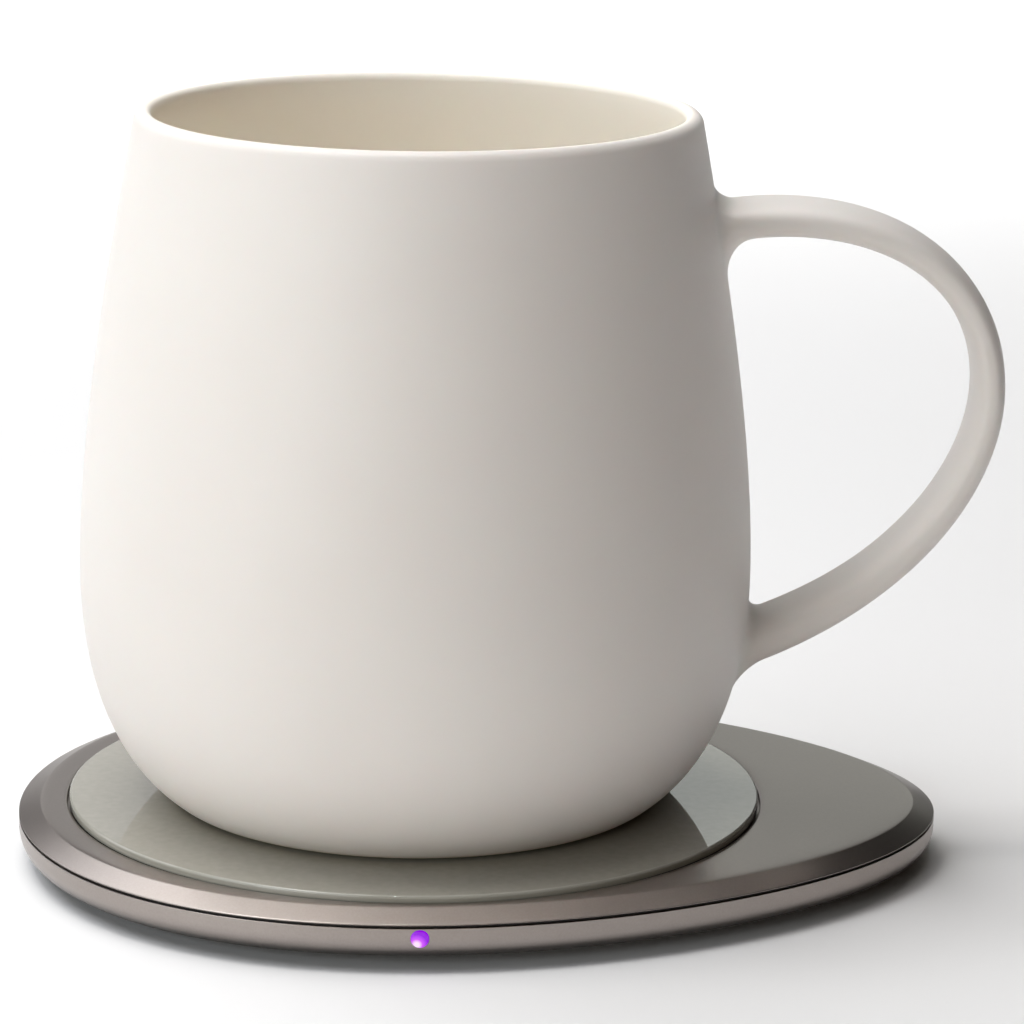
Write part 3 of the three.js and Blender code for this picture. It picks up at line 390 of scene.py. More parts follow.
shell_bosses = [bar(3.2, 2.5, 3.3, p) for p in screw_places]
posts = [bar(2.0, 2.5, 3.45, p, 36) for p in board_places]
sinks = [bar(2.1, 0.5, 2.4, p, 36) for p in screw_places]
clear_holes = [bar(SCREW_RADIUS, 0.5, 5.0, p, 24) for p in screw_places]
post_holes = [bar(0.65, 2.35, 4.5, p, 20) for p in board_places]
slot = skin(inlet_rings(*SLOT_SIZE, (INLET_BACK - 0.3, HALF_BREADTH + 2)))
lens_depth = (LENS_FRONT - 2, LENS_FRONT + 3.6)
lens_hole = skin(bar_along_y((LENS_HOLE, LENS_HOLE), lens_depth, (LENS_X, LENS_HEIGHT)))
shell = shaped(
    "shell",
    skin(carried(shell_profile)),
    added=[*shell_bosses, *posts],
    cut=[*sinks, *clear_holes, *post_holes, slot, lens_hole],
)

# %% [markdown]
# Gasket, glass and foot pad are plain shapes whose edges do the work. The glass stands a little
# proud of the metal, and its polished round edge catches a thin bright line, which a painted
# highlight in its material makes paler still.

# %% Gasket, glass and foot pad
gasket_corners = [(0.4, 5.9), (0.4, 6.22), (1.6, 6.22), (1.6, 5.9)]
gasket = piece_from("gasket", skin(carried(eased(gasket_corners, [0.08] * 4)), closed=True))

GLASS_ROUND = 0.35
glass_low = GLASS_TOP - GLASS_THICKNESS
edge = np.linspace(0, math.pi / 2, 12)[1:]
edge_radius = GLASS_RADIUS - GLASS_ROUND * (1 - np.cos(edge))
edge_height = GLASS_TOP - GLASS_ROUND * (1 - np.sin(edge))
under_glass = [(0.01, glass_low), (30, glass_low), (GLASS_RADIUS - 0.3, glass_low)]
side_heights = (glass_low + 0.2, 8.2, GLASS_TOP - GLASS_ROUND)
glass_side = [(GLASS_RADIUS, height) for height in side_heights]
glass_top = [(GLASS_RADIUS - 0.4, GLASS_TOP), (30, GLASS_TOP), (0.01, GLASS_TOP)]
glass_edge = np.column_stack([edge_radius, edge_height])
glass = piece_from("glass", skin(spun([*under_glass, *glass_side, *glass_edge, *glass_top], 256)))

PAD_MIDDLE = 22
pad_corners = [(PAD_MIDDLE, 0), (11.15, 0), (11.0, 0.3), (11.0, PAD_HEIGHT), (PAD_MIDDLE, PAD_HEIGHT)]
pad = piece_from("pad", skin(carried(eased(pad_corners, [0, 0.1, 0.1, 0.1, 0]))))

# %% [markdown]
# The mug is spun on a lathe. Outside, one curve leads from the foot up to the belly and a second
# one from the belly to the lip; both are upright where they meet. Inside runs a second line, one
# wall thickness away. The lip between them is rounder outside than inside, as a sponge leaves it.

# %% The mug's outline
MUG_LIFT = 8.9
MUG_HEIGHT = 92.0
BELLY = (44.7, 30.9)
LIP_RADIUS = 37.2
LIP = 2.4
WALL = 3.4
FOOT_INSIDE, FOOT_OUTSIDE, FOOT_HOLLOW = 27.5, 32.5, 1.7
FLOOR_INSIDE = 6
haunch = [(FOOT_OUTSIDE, 0), (39.6, 4.45), (44.7, 14.75), BELLY]
shoulder = [BELLY, (44.7, 47.4), (41.6, 66.8), (LIP_RADIUS, MUG_HEIGHT - LIP / 2)]
INNER_BELLY = (BELLY[0] - WALL, BELLY[1])
inner_haunch = [(22, FLOOR_INSIDE), (34, FLOOR_INSIDE), (41.3, 18.9), INNER_BELLY]
inner_shoulder = [INNER_BELLY, (41.3, 47.4), (39.2, 66.8), (LIP_RADIUS - LIP, MUG_HEIGHT - LIP / 2)]


def cubic(corners, u):
    """Points of a cubic curve: its four corners weighed by (1-u)^3, 3u(1-u)^2, 3u^2(1-u) and u^3."""
    u = np.asarray(u, float)[:, None]
    weights = [(1 - u) ** 3, 3 * u * (1 - u) ** 2, 3 * u**2 * (1 - u), u**3]
    return sum(weight * np.asarray(corner, float) for weight, corner in zip(weights, corners))


fine = np.linspace(0, 1, 49)
outer_line = np.concatenate([cubic(haunch, fine), cubic(shoulder, fine)[1:]])
lip_outside = [(LIP_RADIUS, 90.8), (36.98, 91.65), (36.35, MUG_HEIGHT), (35.7, MUG_HEIGHT)]
lip_inside = [(35.7, MUG_HEIGHT), (35.15, MUG_HEIGHT), (34.8, 91.5), (34.8, 90.8)]
lip_line = np.concatenate([cubic(lip_outside, fine[::6])[1:], cubic(lip_inside, fine[::8])[1:-1]])
upwards = np.concatenate([cubic(inner_haunch, fine[::2]), cubic(inner_shoulder, fine[::2])[1:]])
inner_line = upwards[::-1]
foot_corners = [
    (0.01, FOOT_HOLLOW), (FOOT_INSIDE, FOOT_HOLLOW), (FOOT_INSIDE, 0), (FOOT_OUTSIDE, 0), (33.4, 0.57),
]
foot_line = eased(foot_corners, [0, 0.3, 0.8, 0.5, 0])
print("the belly is", 2 * outer_line[:, 0].max(), "mm across")


def wall_radius(height):
    """Radius of the mug's outer side at heights above its foot, read off the outline."""
    return np.interp(height, outer_line[:, 1], outer_line[:, 0])


# %% The mug's wall
started = outer_line[outer_line[:, 1] > 0.62]
floor_line = [(12, FLOOR_INSIDE), (0.01, FLOOR_INSIDE)]
mug_profile = np.concatenate([foot_line, started, lip_line, inner_line, floor_line])
mug_wall = skin(spun(mug_profile, 256))
print("the mug's wall has", len(mug_profile), "rows")

# %% [markdown]
# The handle is a strap with a rounded section, carried along two cubic curves. Where it meets the
# wall it has to flow into it, as clay does. For every line along the strap the code finds where
# the line would hit the wall, and then draws a cubic curve from the strap to the wall that leaves
# one and reaches the other without a kink.

# %% The handle's middle line
top_arm = [(38.3, 77.3), (59.6, 81.6), (75.7, 72.0), (75.7, 55.6)]
low_arm = [(75.7, 55.6), (75.7, 43.6), (65.2, 27.9), (42.7, 20.3)]
dense = np.linspace(0, 1, 400)
middle = np.concatenate([cubic(top_arm, dense), cubic(low_arm, dense)[1:]])
step = np.linalg.norm(np.diff(middle, axis=0), axis=1)
travel = np.concatenate([[0], np.cumsum(step)])
STRAP_LENGTH = travel[-1]
STRAP_BREADTH = 12.5
SQUARED = 2 / 2.6
print("the handle's middle line is", round(STRAP_LENGTH, 1), "mm long")


def strap(along, around):
    """Points of the strap. along is the way travelled on the middle line, around the angle in the
    section. The section is a super-ellipse: its half sizes times the cosine and the sine, each
    raised to 2/2.6 with its sign kept, which squares the ellipse off a little."""
    x, z = (np.interp(along, travel, middle[:, k]) for k in (0, 1))
    ahead = [np.interp(along + 0.2, travel, middle[:, k]) for k in (0, 1)]
    behind = [np.interp(along - 0.2, travel, middle[:, k]) for k in (0, 1)]
    way_x, way_z = ahead[0] - behind[0], ahead[1] - behind[1]
    length = np.hypot(way_x, way_z)
    out_x, out_z = -way_z / length, way_x / length
    share = along / STRAP_LENGTH
    thickness = np.interp(share, (0, 0.22, 0.36, 0.46, 0.8, 1), (5.1, 4.6, 4.25, 4.2, 5.1, 6.2))
    rise = np.sign(np.cos(around)) * np.abs(np.cos(around)) ** SQUARED * thickness / 2
    aside = np.sign(np.sin(around)) * np.abs(np.sin(around)) ** SQUARED * STRAP_BREADTH / 2
    return np.stack([x + out_x * rise, aside, z + out_z * rise], -1)


# %% Where the strap's lines meet the wall
SECTION = 72
around = np.linspace(0, TURN, SECTION, endpoint=False) + TURN / SECTION / 2
walk = np.linspace(0, STRAP_LENGTH, 900)
lines = strap(walk[:, None] + 0 * around, around[None] + 0 * walk[:, None])
clearance = np.hypot(lines[..., 0], lines[..., 1]) - wall_radius(lines[..., 2])
outside = clearance > 0
top_meet = walk[np.argmax(outside, 0)]
low_meet = walk[len(walk) - 1 - np.argmax(outside[::-1], 0)]
print("the strap is free of the wall for", round(float((low_meet - top_meet).mean()), 1), "mm")


def on_wall(facing, height, depth=0.0):
    """Points on the mug's outer side at a direction round the axis and a height, or under it."""
    radius = wall_radius(height) - depth
    return np.stack([radius * np.cos(facing), radius * np.sin(facing), height], -1)


def fillet(meet, sense, reaches, upright, rows=14):
    """Rings from inside the wall to the strap. meet is where each line hits the wall, sense is 1 if
    the strap leaves the wall as the way grows, and reaches are the fillet's sizes on the outer,
    inner and lateral sides. Each line is a cubic curve whose end tangents are those of the wall
    and of the strap."""
    outward, lateral = np.cos(around), np.sin(around)
    outer, inner, side = reaches
    size = np.where(outward > 0, outer, inner) * outward**2 + side * lateral**2
    corner = strap(meet, around)
    leave = strap(meet + sense * size, around)
    behind = strap(meet + sense * (size + 0.2), around)
    strap_way = (leave - behind) / np.linalg.norm(leave - behind, axis=1, keepdims=True)
    facing, height = np.arctan2(corner[:, 1], corner[:, 0]), corner[:, 2]
    turn = lateral * size / wall_radius(height)
    climb = outward * size * upright
    reach = on_wall(facing + turn, height + climb)
    nearer = on_wall(facing + 0.95 * turn, height + 0.95 * climb)
    wall_way = (nearer - reach) / np.linalg.norm(nearer - reach, axis=1, keepdims=True)
    pull = 0.56 * size[:, None]
    u = np.linspace(0, 1, rows)[:, None, None]
    curve = ((1 - u) ** 3 * reach + 3 * u * (1 - u) ** 2 * (reach + wall_way * pull)
             + 3 * u**2 * (1 - u) * (leave + strap_way * pull) + u**3 * leave)
    under = on_wall(facing + 1.08 * turn, height + 1.08 * climb, 0.03)
    deep = on_wall(facing + 1.08 * turn, height + 1.08 * climb, 1.2)
    return np.concatenate([deep[None], under[None], curve]), size


# %% The handle
top_rings, top_size = fillet(top_meet, 1, (2.6, 5.0, 1.9), 1)
low_rings, low_size = fillet(low_meet, -1, (3.6, 3.0, 1.9), -1)
share = np.linspace(0, 1, 140)[1:-1, None]
free = (top_meet + top_size) * (1 - share) + (low_meet - low_size) * share
strap_rings = strap(free, around[None] + 0 * free)
handle = skin(np.concatenate([top_rings, strap_rings, low_rings[::-1]]))
lift = np.array([0, 0, MUG_LIFT])
whole_mug = together((mug_wall[0] + lift, mug_wall[1]), (handle[0] + lift, handle[1]))
mug = piece_from("mug", whole_mug, crease=40)

# %% [markdown]
# The inside is painted a lighter, warmer cream: painted light, for the light that bounces round
# inside the mug. A potter wipes the foot clean. So each point of the mug carries two shares: how far
# it belongs to the inside, and how far it is bare clay.

# %% Shares of the inside, painted lighter, and of bare clay
spots = np.empty(3 * len(mug.data.vertices))
mug.data.vertices.foreach_get("co", spots)
spots = spots.reshape(-1, 3) / MM
reach, height = np.hypot(spots[:, 0], spots[:, 1]), spots[:, 2] - MUG_LIFT
inside = np.clip((wall_radius(height) - 0.9 - reach) / 0.7, 0, 1) * (height > 4)
bare = np.clip((0.8 - height) / 0.5, 0, 1) + ((height < 4) & (reach < 31))
for name, value in (("inside", inside), ("bare", np.clip(bare, 0, 1))):
    mug.data.attributes.new(name, "FLOAT", "POINT").data.foreach_set("value", value.astype(np.float32))
print("inside points:", int(inside.sum()), "bare points:", int(bare.sum()))

# %% [markdown]
# The indicator is a light pipe: a short rod of clear plastic with a domed face. It shows as one
# small purple dot in the front edge.

# %% The indicator's light pipe
dome = np.linspace(0, 1, 10)
dome_radius = LENS_RADIUS * np.sin(dome * math.pi / 2)
dome_depth = -0.15 * np.cos(dome * math.pi / 2)
lens_radii = np.concatenate([np.maximum(dome_radius, 0.01), [LENS_RADIUS, 1.35, 1.35, 1.0, 1.0, 0.01]])
lens_depths = np.concatenate([dome_depth, [2.1, 2.1, 2.6, 2.6, 3.7, 3.7]]) + LENS_FRONT
lens = piece_from("lens", skin(bar_along_y(lens_radii, lens_depths, (LENS_X, LENS_HEIGHT))), crease=50)

# %% [markdown]
# The power inlet is a folded metal shell with round ends. It is built as one line carried round
# the outline: outside, over a small lip, and back inside to the closed end.

# %% The power inlet
wall_thickness = 0.3
outside_rings = inlet_rings(*INLET_SIZE, (INLET_BACK, INLET_FRONT - 0.1))
lip_rings = inlet_rings(*INLET_SIZE, (INLET_FRONT,), ease=0.08)
inner_lip = inlet_rings(*INLET_SIZE, (INLET_FRONT,), ease=0.22)
inside_depths = (INLET_FRONT - 0.1, INLET_BACK + wall_thickness)
inside_rings = inlet_rings(*INLET_SIZE, inside_depths, ease=wall_thickness)
inlet_skin = skin(np.concatenate([outside_rings, lip_rings, inner_lip, inside_rings]))
inlet = piece_from("inlet", inlet_skin, crease=40)

# %% [markdown]
# Now the finishes. Each one is a small node tree on Blender's Principled shader. A pattern reads
# the piece's own coordinates, so it stays fixed to the piece. A helper makes the tree's frame, and
# a second one adds the grain that every real surface has: a little unevenness in gloss and height.

# %% Helpers for node trees
def finish(name, color, roughness, metallic=0.0, **more):
    """A Principled material with its colour, roughness and metal share, and any other socket by its
    own name with underscores for spaces. Colours are given as the eye sees them, from 0 to 255."""
    made = bpy.data.materials.new(name)
    made.use_nodes = True
    shader = made.node_tree.nodes["Principled BSDF"]
    values = {"Base_Color": tint(color), "Roughness": roughness, "Metallic": metallic, **more}
    for socket, value in values.items():
        shader.inputs[socket.replace("_", " ")].default_value = value
    made.diffuse_color = tint(color)
    return made


def tint(color):
    """A colour from 0 to 255 as the linear light that Blender works with."""
    share = np.asarray(color, float) / 255
    linear = np.where(share <= 0.04045, share / 12.92, ((share + 0.055) / 1.055) ** 2.4)
    return (*linear.tolist(), 1.0)


def node(material, kind, **inputs):
    """A node of a material, with its input sockets set by name."""
    made = material.node_tree.nodes.new("ShaderNode" + kind)
    for socket, value in inputs.items():
        made.inputs[socket.replace("_", " ")].default_value = value
    return made


def wire(material, source, target):
    """A link from an output socket to an input socket."""
    material.node_tree.links.new(source, target)


def noise(material, scale, detail=3.0, roughness=0.55, stretch=(1, 1, 1)):
    """Noise on the piece's own coordinates. The scale counts bumps per metre."""
    place = node(material, "TexCoord")
    mapping = node(material, "Mapping")
    mapping.inputs["Scale"].default_value = stretch
    made = node(material, "TexNoise", Scale=scale, Detail=detail, Roughness=roughness)
    wire(material, place.outputs["Object"], mapping.inputs["Vector"])
    wire(material, mapping.outputs["Vector"], made.inputs["Vector"])
    return made.outputs["Fac"]


def spread(material, value, low, high):
    """A value around one half, carried to the range from low to high."""
    made = node(material, "MapRange")
    for socket, number in (("From Min", 0.3), ("From Max", 0.7), ("To Min", low), ("To Max", high)):
        made.inputs[socket].default_value = number
    wire(material, value, made.inputs["Value"])
    return made.outputs["Result"]


def grain(material, scale, gloss, bump, distance=0.00005, **pattern):
    """Uneven gloss and height from one noise: gloss is the range of roughness, bump the strength."""
    shader = material.node_tree.nodes["Principled BSDF"]
    value = noise(material, scale, **pattern)
    wire(material, spread(material, value, *gloss), shader.inputs["Roughness"])
    height = node(material, "Bump", Strength=bump, Distance=distance)
    wire(material, value, height.inputs["Height"])
    wire(material, height.outputs["Normal"], shader.inputs["Normal"])
    return value


def tone(material, value, dark, light):
    """Colour that drifts between two tones with a value."""
    ramp = node(material, "ValToRGB")
    ramp.color_ramp.elements[0].position, ramp.color_ramp.elements[1].position = 0.3, 0.7
    ramp.color_ramp.elements[0].color, ramp.color_ramp.elements[1].color = tint(dark), tint(light)
    shader = material.node_tree.nodes["Principled BSDF"]
    wire(material, value, ramp.inputs["Fac"])
    wire(material, ramp.outputs["Color"], shader.inputs["Base Color"])


def attribute(material, name):
    """A value that the mesh carries for each of its points."""
    made = node(material, "Attribute")
    made.attribute_name = name
    return made.outputs["Fac"]


def blend(material, share, color):
    """Lays a second colour over what feeds the base colour, by a share from 0 to 1."""
    target = material.node_tree.nodes["Principled BSDF"].inputs["Base Color"]
    under = target.links[0].from_socket
    mixer = node(material, "MixRGB", Color2=tint(color))
    wire(material, share, mixer.inputs["Fac"])
    wire(material, under, mixer.inputs["Color1"])
    wire(material, mixer.outputs["Color"], target)


def distance_from(material, place, stretch, near, far):
    """A share that grows from 0 to 1 as the distance from a place, in mm, goes from near to far.
    An axis whose stretch is 0 doesn't count."""
    spot = node(material, "TexCoord")
    shifted, measured = node(material, "VectorMath"), node(material, "VectorMath")
    scaled = node(material, "VectorMath")
    shifted.operation, scaled.operation, measured.operation = "SUBTRACT", "MULTIPLY", "LENGTH"
    shifted.inputs[1].default_value = [MM * part for part in place]
    scaled.inputs[1].default_value = stretch
    wire(material, spot.outputs["Object"], shifted.inputs[0])
    wire(material, shifted.outputs["Vector"], scaled.inputs[0])
    wire(material, scaled.outputs["Vector"], measured.inputs[0])
    made = node(material, "MapRange")
    made.inputs["From Min"].default_value, made.inputs["From Max"].default_value = MM * near, MM * far
    wire(material, measured.outputs["Value"], made.inputs["Value"])
    return made.outputs["Result"]


# %% [markdown]
# The mug has a soft matte glaze over white stoneware. Matte glaze isn't perfectly even: it carries
# a very fine tooth and broad, faint drifts of warmth. A little light scatters under the surface.

# %% Ceramic
ceramic = finish("matte_glaze", (228, 222, 217), 0.5, Subsurface_Weight=0.06, Subsurface_Scale=0.002)
grain(ceramic, 2600, (0.46, 0.58), 0.05, distance=0.00003, detail=4)
tone(ceramic, noise(ceramic, 22, detail=2), (226, 220, 215), (230, 225, 220))
# Painted light: the inside is painted a lighter, warmer cream for the light that bounces round inside
# the mug.
blend(ceramic, attribute(ceramic, "inside"), (254, 248, 237))
blend(ceramic, attribute(ceramic, "bare"), (214, 205, 192))
print(ceramic.name, "has", len(ceramic.node_tree.nodes), "nodes")

# %% [markdown]
# Cover and shell are aluminium, blasted with fine beads and then anodised a warm grey. The blasting
# leaves a tooth far too small to see as bumps; it widens the highlights and makes them sparkle.
# Towards its lower edge the shell's tone falls off: painted shade, for the table's shade on the
# plate's lower edge.

# %% Anodised metal
anodised = finish("anodised_metal", (162, 154, 149), 0.32, 1.0)
grain(anodised, 5200, (0.3, 0.34), 0.015, distance=0.00002, detail=3)
tone(anodised, noise(anodised, 3400, detail=3), (159, 151, 146), (164, 156, 151))
shell_metal = finish("anodised_shell", (158, 150, 146), 0.32, 1.0)
grain(shell_metal, 5200, (0.3, 0.34), 0.015, distance=0.00002, detail=3)
tone(shell_metal, noise(shell_metal, 3400, detail=3), (158, 150, 145), (163, 155, 150))
# Painted shade: below 3.8 mm the shell's colour darkens towards (84, 78, 75), which it reaches at 1.2
# mm above the table.
blend(shell_metal, distance_from(shell_metal, (0, 0, 5.0), (0, 0, 1), 1.2, 3.8), (84, 78, 75))
print(anodised.name, "and", shell_metal.name, "are ready")

# %% [markdown]
# The disc is clear glass with a grey-green print on its back. Seen from outside, that is a coloured
# ground under a polished surface. Its outermost rim is painted paler: a painted highlight for the
# light that the glass's polished edge scatters.

# %% Glass with a printed back
backed_glass = finish("printed_glass", (156, 153, 142), 0.03, IOR=1.65)
tone(backed_glass, noise(backed_glass, 900, detail=4), (153, 150, 139), (159, 156, 145))
# Painted highlight: the round edge, beyond 46.15 mm from the axis, is painted paler.
blend(backed_glass, distance_from(backed_glass, (0, 0, 0), (1, 1, 0), 46.15, 46.25), (160, 158, 148))
print(backed_glass.name, "has", len(backed_glass.node_tree.nodes), "nodes")

# %% [markdown]
# The light pipe glows. Its light is a part of the shader, so it shines the same from everywhere.
# The near-white spot low on its left is a painted highlight, laid into that glow.

# %% The lit lens
lit = finish("lit_lens", (60, 6, 96), 0.15)
lit_shader = lit.node_tree.nodes["Principled BSDF"]
lit_shader.inputs["Emission Strength"].default_value = 1.0
glow = node(lit, "ValToRGB")
stops = glow.color_ramp.elements
stops[0].color, stops[1].color = tint((255, 225, 255)), tint((140, 0, 215))
stops.new(0.4).color = tint((206, 84, 246))
# Painted highlight: the glow turns near-white round a spot low on the left of the dome.
painted_highlight_spot = (LENS_X - 0.4, 0, LENS_HEIGHT - 0.7)
wire(lit, distance_from(lit, painted_highlight_spot, (1, 0, 1), 0.3, 1.35), glow.inputs["Fac"])
wire(lit, glow.outputs["Color"], lit_shader.inputs["Emission Color"])
tone(lit, noise(lit, 1500), (54, 4, 88), (66, 8, 104))
print(lit.name, "glows round a spot", round(painted_highlight_spot[2], 2), "mm above the table")

# %% [markdown]
# The pieces inside never show while the plate is closed, but they are real materials too: rubber,
# copper wire under enamel, black ferrite, green laminate, tin and moulded resin. Each row gives the
# colour, the roughness, the share of metal, the bumps per metre, the range of roughness and the
# strength of the bumps.

# %% Finishes of the inner pieces
inner_finishes = {
    "gasket_rubber": ((36, 34, 32), 0.6, 0.0, 1500, (0.45, 0.6), 0.2),
    "pad_silicone": ((58, 55, 53), 0.8, 0.0, 1200, (0.72, 0.88), 0.3),
    "emitter": ((232, 228, 216), 0.5, 0.0, 2500, (0.4, 0.6), 0.1),
    "laminate": ((31, 84, 58), 0.45, 0.0, 1800, (0.35, 0.55), 0.15),
    "enamelled_copper": ((196, 112, 60), 0.3, 1.0, 2200, (0.22, 0.38), 0.1),
    "ferrite": ((54, 51, 50), 0.6, 0.2, 1500, (0.5, 0.7), 0.3),
    "amber_film": ((204, 160, 74), 0.35, 0.0, 700, (0.28, 0.42), 0.08),
    "black_plastic": ((36, 38, 42), 0.55, 0.0, 2400, (0.45, 0.62), 0.2),
    "rolled_aluminium": ((196, 198, 202), 0.35, 1.0, 900, (0.28, 0.42), 0.1),
    "pale_silicone": ((216, 213, 206), 0.6, 0.0, 1500, (0.55, 0.7), 0.15),
    "bead_glass": ((138, 47, 28), 0.2, 0.0, 1500, (0.12, 0.28), 0.05),
    "black_sleeve": ((32, 32, 31), 0.5, 0.0, 2500, (0.42, 0.6), 0.2),
    "chip_resin": ((30, 30, 32), 0.5, 0.0, 3500, (0.42, 0.6), 0.25),
    "tan_ceramic": ((170, 138, 100), 0.45, 0.0, 3000, (0.38, 0.55), 0.15),
    "plated_steel": ((190, 190, 188), 0.3, 1.0, 1600, (0.22, 0.36), 0.08),
    "fired_film": ((186, 182, 174), 0.4, 0.9, 1300, (0.32, 0.48), 0.15),
    "bonding_foam": ((60, 58, 54), 0.85, 0.0, 2500, (0.78, 0.92), 0.4),
}
made_finishes = {}
for name, (color, rough, metal, scale, gloss, bump) in inner_finishes.items():
    made_finishes[name] = finish(name, color, rough, metal)
    value = grain(made_finishes[name], scale, gloss, bump)
    dark, light = (tuple(min(255, part * factor) for part in color) for factor in (0.94, 1.05))
    tone(made_finishes[name], value, dark, light)
print("made", len(made_finishes), "inner finishes")

# %% Finish of each carried-over part
worn_by = {
    "base_cover": "tan_ceramic", "heating_film": "fired_film", "glass_adhesive_ring": "bonding_foam",
    "indicator_led": "emitter", "main_board": "laminate", "transmitter_coil": "enamelled_copper",
    "ferrite_sheet": "ferrite", "insulating_sheet": "amber_film", "coil_carrier": "black_plastic",
    "shield_plate": "rolled_aluminium", "temperature_sensor": "bead_glass",
    "sensor_holder": "pale_silicone", "sensor_lead": "black_sleeve", "controller_chip": "chip_resin",
    "driver_chip": "chip_resin", "power_inductor": "ferrite", "usb_tongue": "black_plastic",
    **{f"resonant_capacitor_{n}": "tan_ceramic" for n in range(1, 5)},
    **{f"input_capacitor_{n}": "tan_ceramic" for n in range(1, 3)},
    **{f"cover_screw_{n}": "plated_steel" for n in range(1, 6)},
    **{f"board_screw_{n}": "plated_steel" for n in range(1, 4)},
}
for part, worn in worn_by.items():
    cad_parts[part].data.materials.clear()
    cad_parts[part].data.materials.append(made_finishes[worn])
print("gave finishes to", len(worn_by), "carried-over parts")

# %% [markdown]
# Each new piece takes over from its technical part and rides on the same body. Each row also
# holds the name of a slot in the object's record.

# %% Dress the pieces and hang them on their bodies
dressed = [
    (mug, ceramic, "mug", "ceramic", "mug_body"),
    (cover, anodised, "base", "anodised_metal", "top_cover"),
    (shell, shell_metal, "base", "shell_metal", "lower_shell"),
    (glass, backed_glass, "base", "backed_glass", "glass_disc"),
    (gasket, made_finishes["gasket_rubber"], "base", "dark_rubber", "seam_gasket"),
    (pad, made_finishes["pad_silicone"], "base", "pad_rubber", "foot_pad"),
    (lens, lit, "base", "lens_plastic", "indicator_lens"),
    (inlet, made_finishes["plated_steel"], "base", "steel", "usb_socket"),
]
for made, material, body, slot_name, part in dressed:
    made.data.materials.clear()
    made.data.materials.append(material)
    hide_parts(part)
    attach(made, body)
print("dressed", len(dressed), "pieces")

# %% [markdown]
# The stage is a pale floor that runs far past the picture's edge.

# %% Stage
floor_mesh = bpy.data.meshes.new("floor")
floor_mesh.from_pydata([(-4, -4, 0), (4, -4, 0), (4, 4, 0), (-4, 4, 0)], [], [(0, 1, 2, 3)])
floor = bpy.data.objects.new("floor", floor_mesh)
bpy.context.scene.collection.objects.link(floor)
pale = finish("pale_floor", (250, 250, 250), 0.9)
tone(pale, noise(pale, 3), (249, 249, 249), (251, 251, 251))
floor_mesh.materials.append(pale)
print("the floor is", round(floor.dimensions.x, 1), "m wide")


# %% [markdown]
# The light is that of a product table. Soft boxes stand to the left, above and behind, and the right
# side stays dark, which gives the mug its shaded side and the bevel its dark end. Two panels far
# behind show in the glass as a pale sheen. Two strips near the floor lift the plate's upright edge,
# a wash brightens the floor behind, and two narrow beams reach into the mug and along the handle.

# %% Lights
def spot(name, place, aim, angle, power, color=(255, 255, 255)):
    """A small round lamp with a narrow, soft-edged beam, for one detail only."""
    data = bpy.data.lights.new(name, "SPOT")
    data.spot_size, data.spot_blend, data.shadow_soft_size = math.radians(angle), 0.7, 0.03
    return hang(data, place, aim, power, color)


def soft_box(name, place, aim, size, power, color=(255, 255, 255)):
    """A rectangular light at a place, in metres, that faces an aim point."""
    data = bpy.data.lights.new(name, "AREA")
    data.shape, data.size, data.size_y = "RECTANGLE", *size
    return hang(data, place, aim, power, color)


def hang(data, place, aim, power, color):
    """Puts a lamp into the scene, turned to face its aim point."""
    data.energy, data.color = power, tint(color)[:3]
    made = bpy.data.objects.new(data.name, data)
    bpy.context.scene.collection.objects.link(made)
    made.location = place
    made.rotation_euler = (Vector(aim) - Vector(place)).to_track_quat("-Z", "Y").to_euler()
    return made


table = (0, 0, 0.05)
soft_box("left_low", (-0.79, -0.56, 0.29), table, (0.6, 0.4), 0.6, (205, 232, 255))
soft_box("front_left", (-0.55, -0.79, 0.33), table, (0.6, 0.4), 1.85, (249, 253, 255))
soft_box("left_high", (-0.55, -0.15, 0.87), table, (0.7, 0.5), 3.3, (246, 250, 255))
soft_box("back_left", (-0.69, 0.58, 0.68), table, (0.6, 0.5), 2.3, (250, 251, 255))
soft_box("back_left_high", (-0.31, 0.49, 0.98), table, (0.6, 0.5), 2.2)
soft_box("top_left", (-0.34, 0.0, 1.15), table, (0.4, 0.4), 4.2, (255, 253, 250))
soft_box("top", (0.0, 0.0, 1.2), table, (0.4, 0.4), 1.2, (255, 247, 250))
soft_box("top_right", (0.3, 0.05, 1.15), table, (0.3, 0.4), 0.6, (255, 246, 238))
soft_box("top_back", (0.0, 0.36, 1.14), table, (0.4, 0.4), 1.2, (255, 254, 249))
soft_box("panel_left", (-0.27, 1.7, 0.41), table, (0.65, 0.64), 0.95)
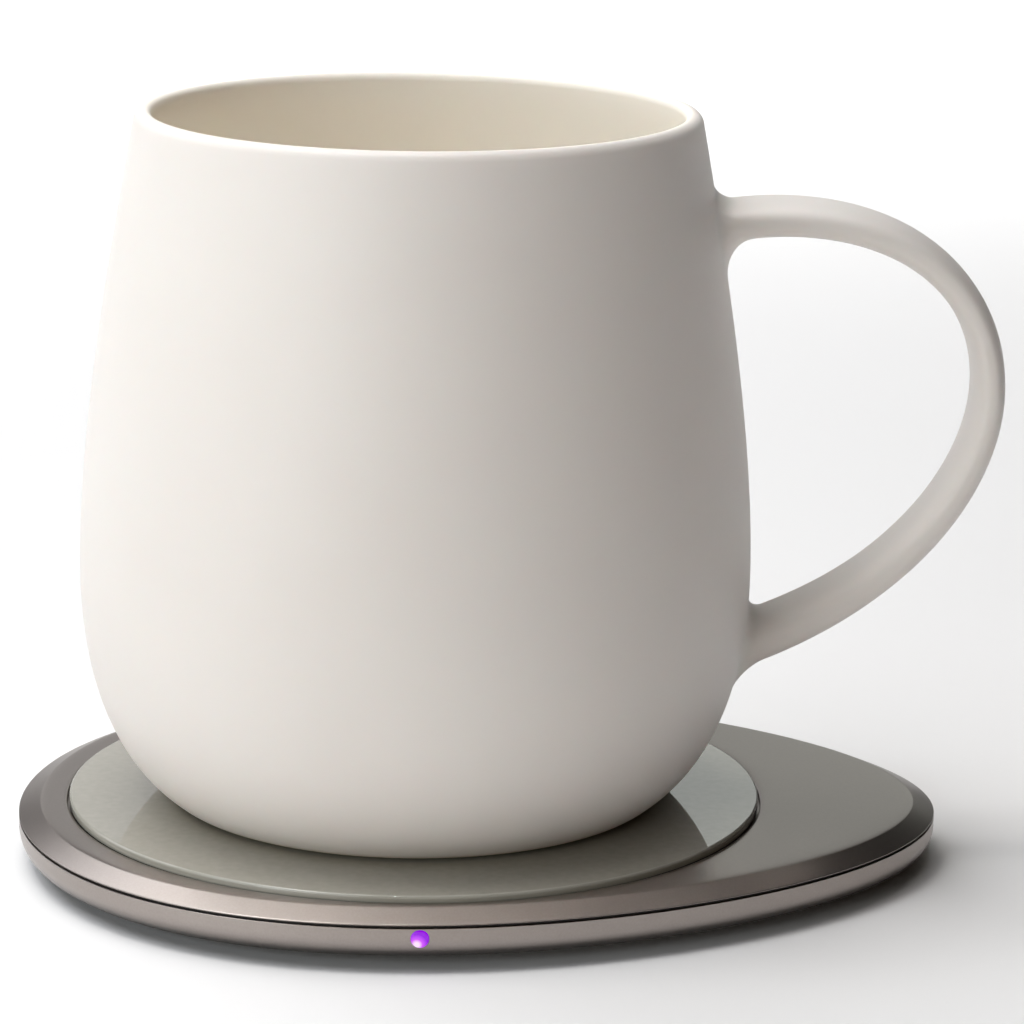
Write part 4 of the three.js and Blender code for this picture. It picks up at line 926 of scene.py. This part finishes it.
soft_box("panel_right", (0.38, 1.7, 0.5), table, (0.65, 0.36), 0.8, (250, 255, 250))
soft_box("low_left", (-0.6, -0.45, 0.07), (0, 0, 0.03), (0.7, 0.12), 1.0, (255, 252, 240))
soft_box("low_front", (0.0, -0.8, 0.06), (0, 0, 0.03), (0.6, 0.1), 0.3, (255, 222, 176))
soft_box("floor_wash", (0.1, 1.3, 1.2), (0.1, 1.29, 0), (2.8, 0.9), 22).data.spread = math.radians(60)
spot("into_the_mug", (-0.05, 0.0, 0.8), (0.0, 0.0, 0.085), 6.0, 11.0, (251, 255, 255))
spot("handle_from_above", (0.1, -0.3, 0.8), (0.058, 0.0, 0.085), 4.6, 1.6, (214, 245, 255))
world = bpy.data.worlds.new("room")
bpy.context.scene.world = world
world.use_nodes = True
world.node_tree.nodes["Background"].inputs["Color"].default_value = tint((255, 244, 232))
world.node_tree.nodes["Background"].inputs["Strength"].default_value = 0.01
bpy.context.scene.view_settings.view_transform = "Standard"

# %% [markdown]
# The camera stands where the photographer's did: low, in front, and half a metre away, with a long
# lens. Its direction is built from three turns: to the side, down, and a slight roll.

# %% Camera
PAN, TILT, ROLL = 0.02155, 0.23794, 0.012605
CAMERA_PLACE = (0.00069, -0.5607, 0.1829)
ahead = np.array([math.sin(PAN) * math.cos(TILT), math.cos(PAN) * math.cos(TILT), -math.sin(TILT)])
right = np.cross(ahead, (0, 0, 1))
right /= np.linalg.norm(right)
upward = np.cross(right, ahead)
rolled_right = math.cos(ROLL) * right + math.sin(ROLL) * upward
rolled_up = -math.sin(ROLL) * right + math.cos(ROLL) * upward
camera_data = bpy.data.cameras.new("camera")
camera_data.lens, camera_data.sensor_width = 152.0, 36.0
camera_data.clip_start = 0.01
camera = bpy.data.objects.new("camera", camera_data)
camera.matrix_world = Matrix([
    [*(rolled_right[k], rolled_up[k], -ahead[k]), place]
    for k, place in enumerate(CAMERA_PLACE)
] + [[0, 0, 0, 1]])
bpy.context.scene.collection.objects.link(camera)
bpy.context.scene.camera = camera
print("the camera looks down by", round(math.degrees(TILT), 1), "degrees")
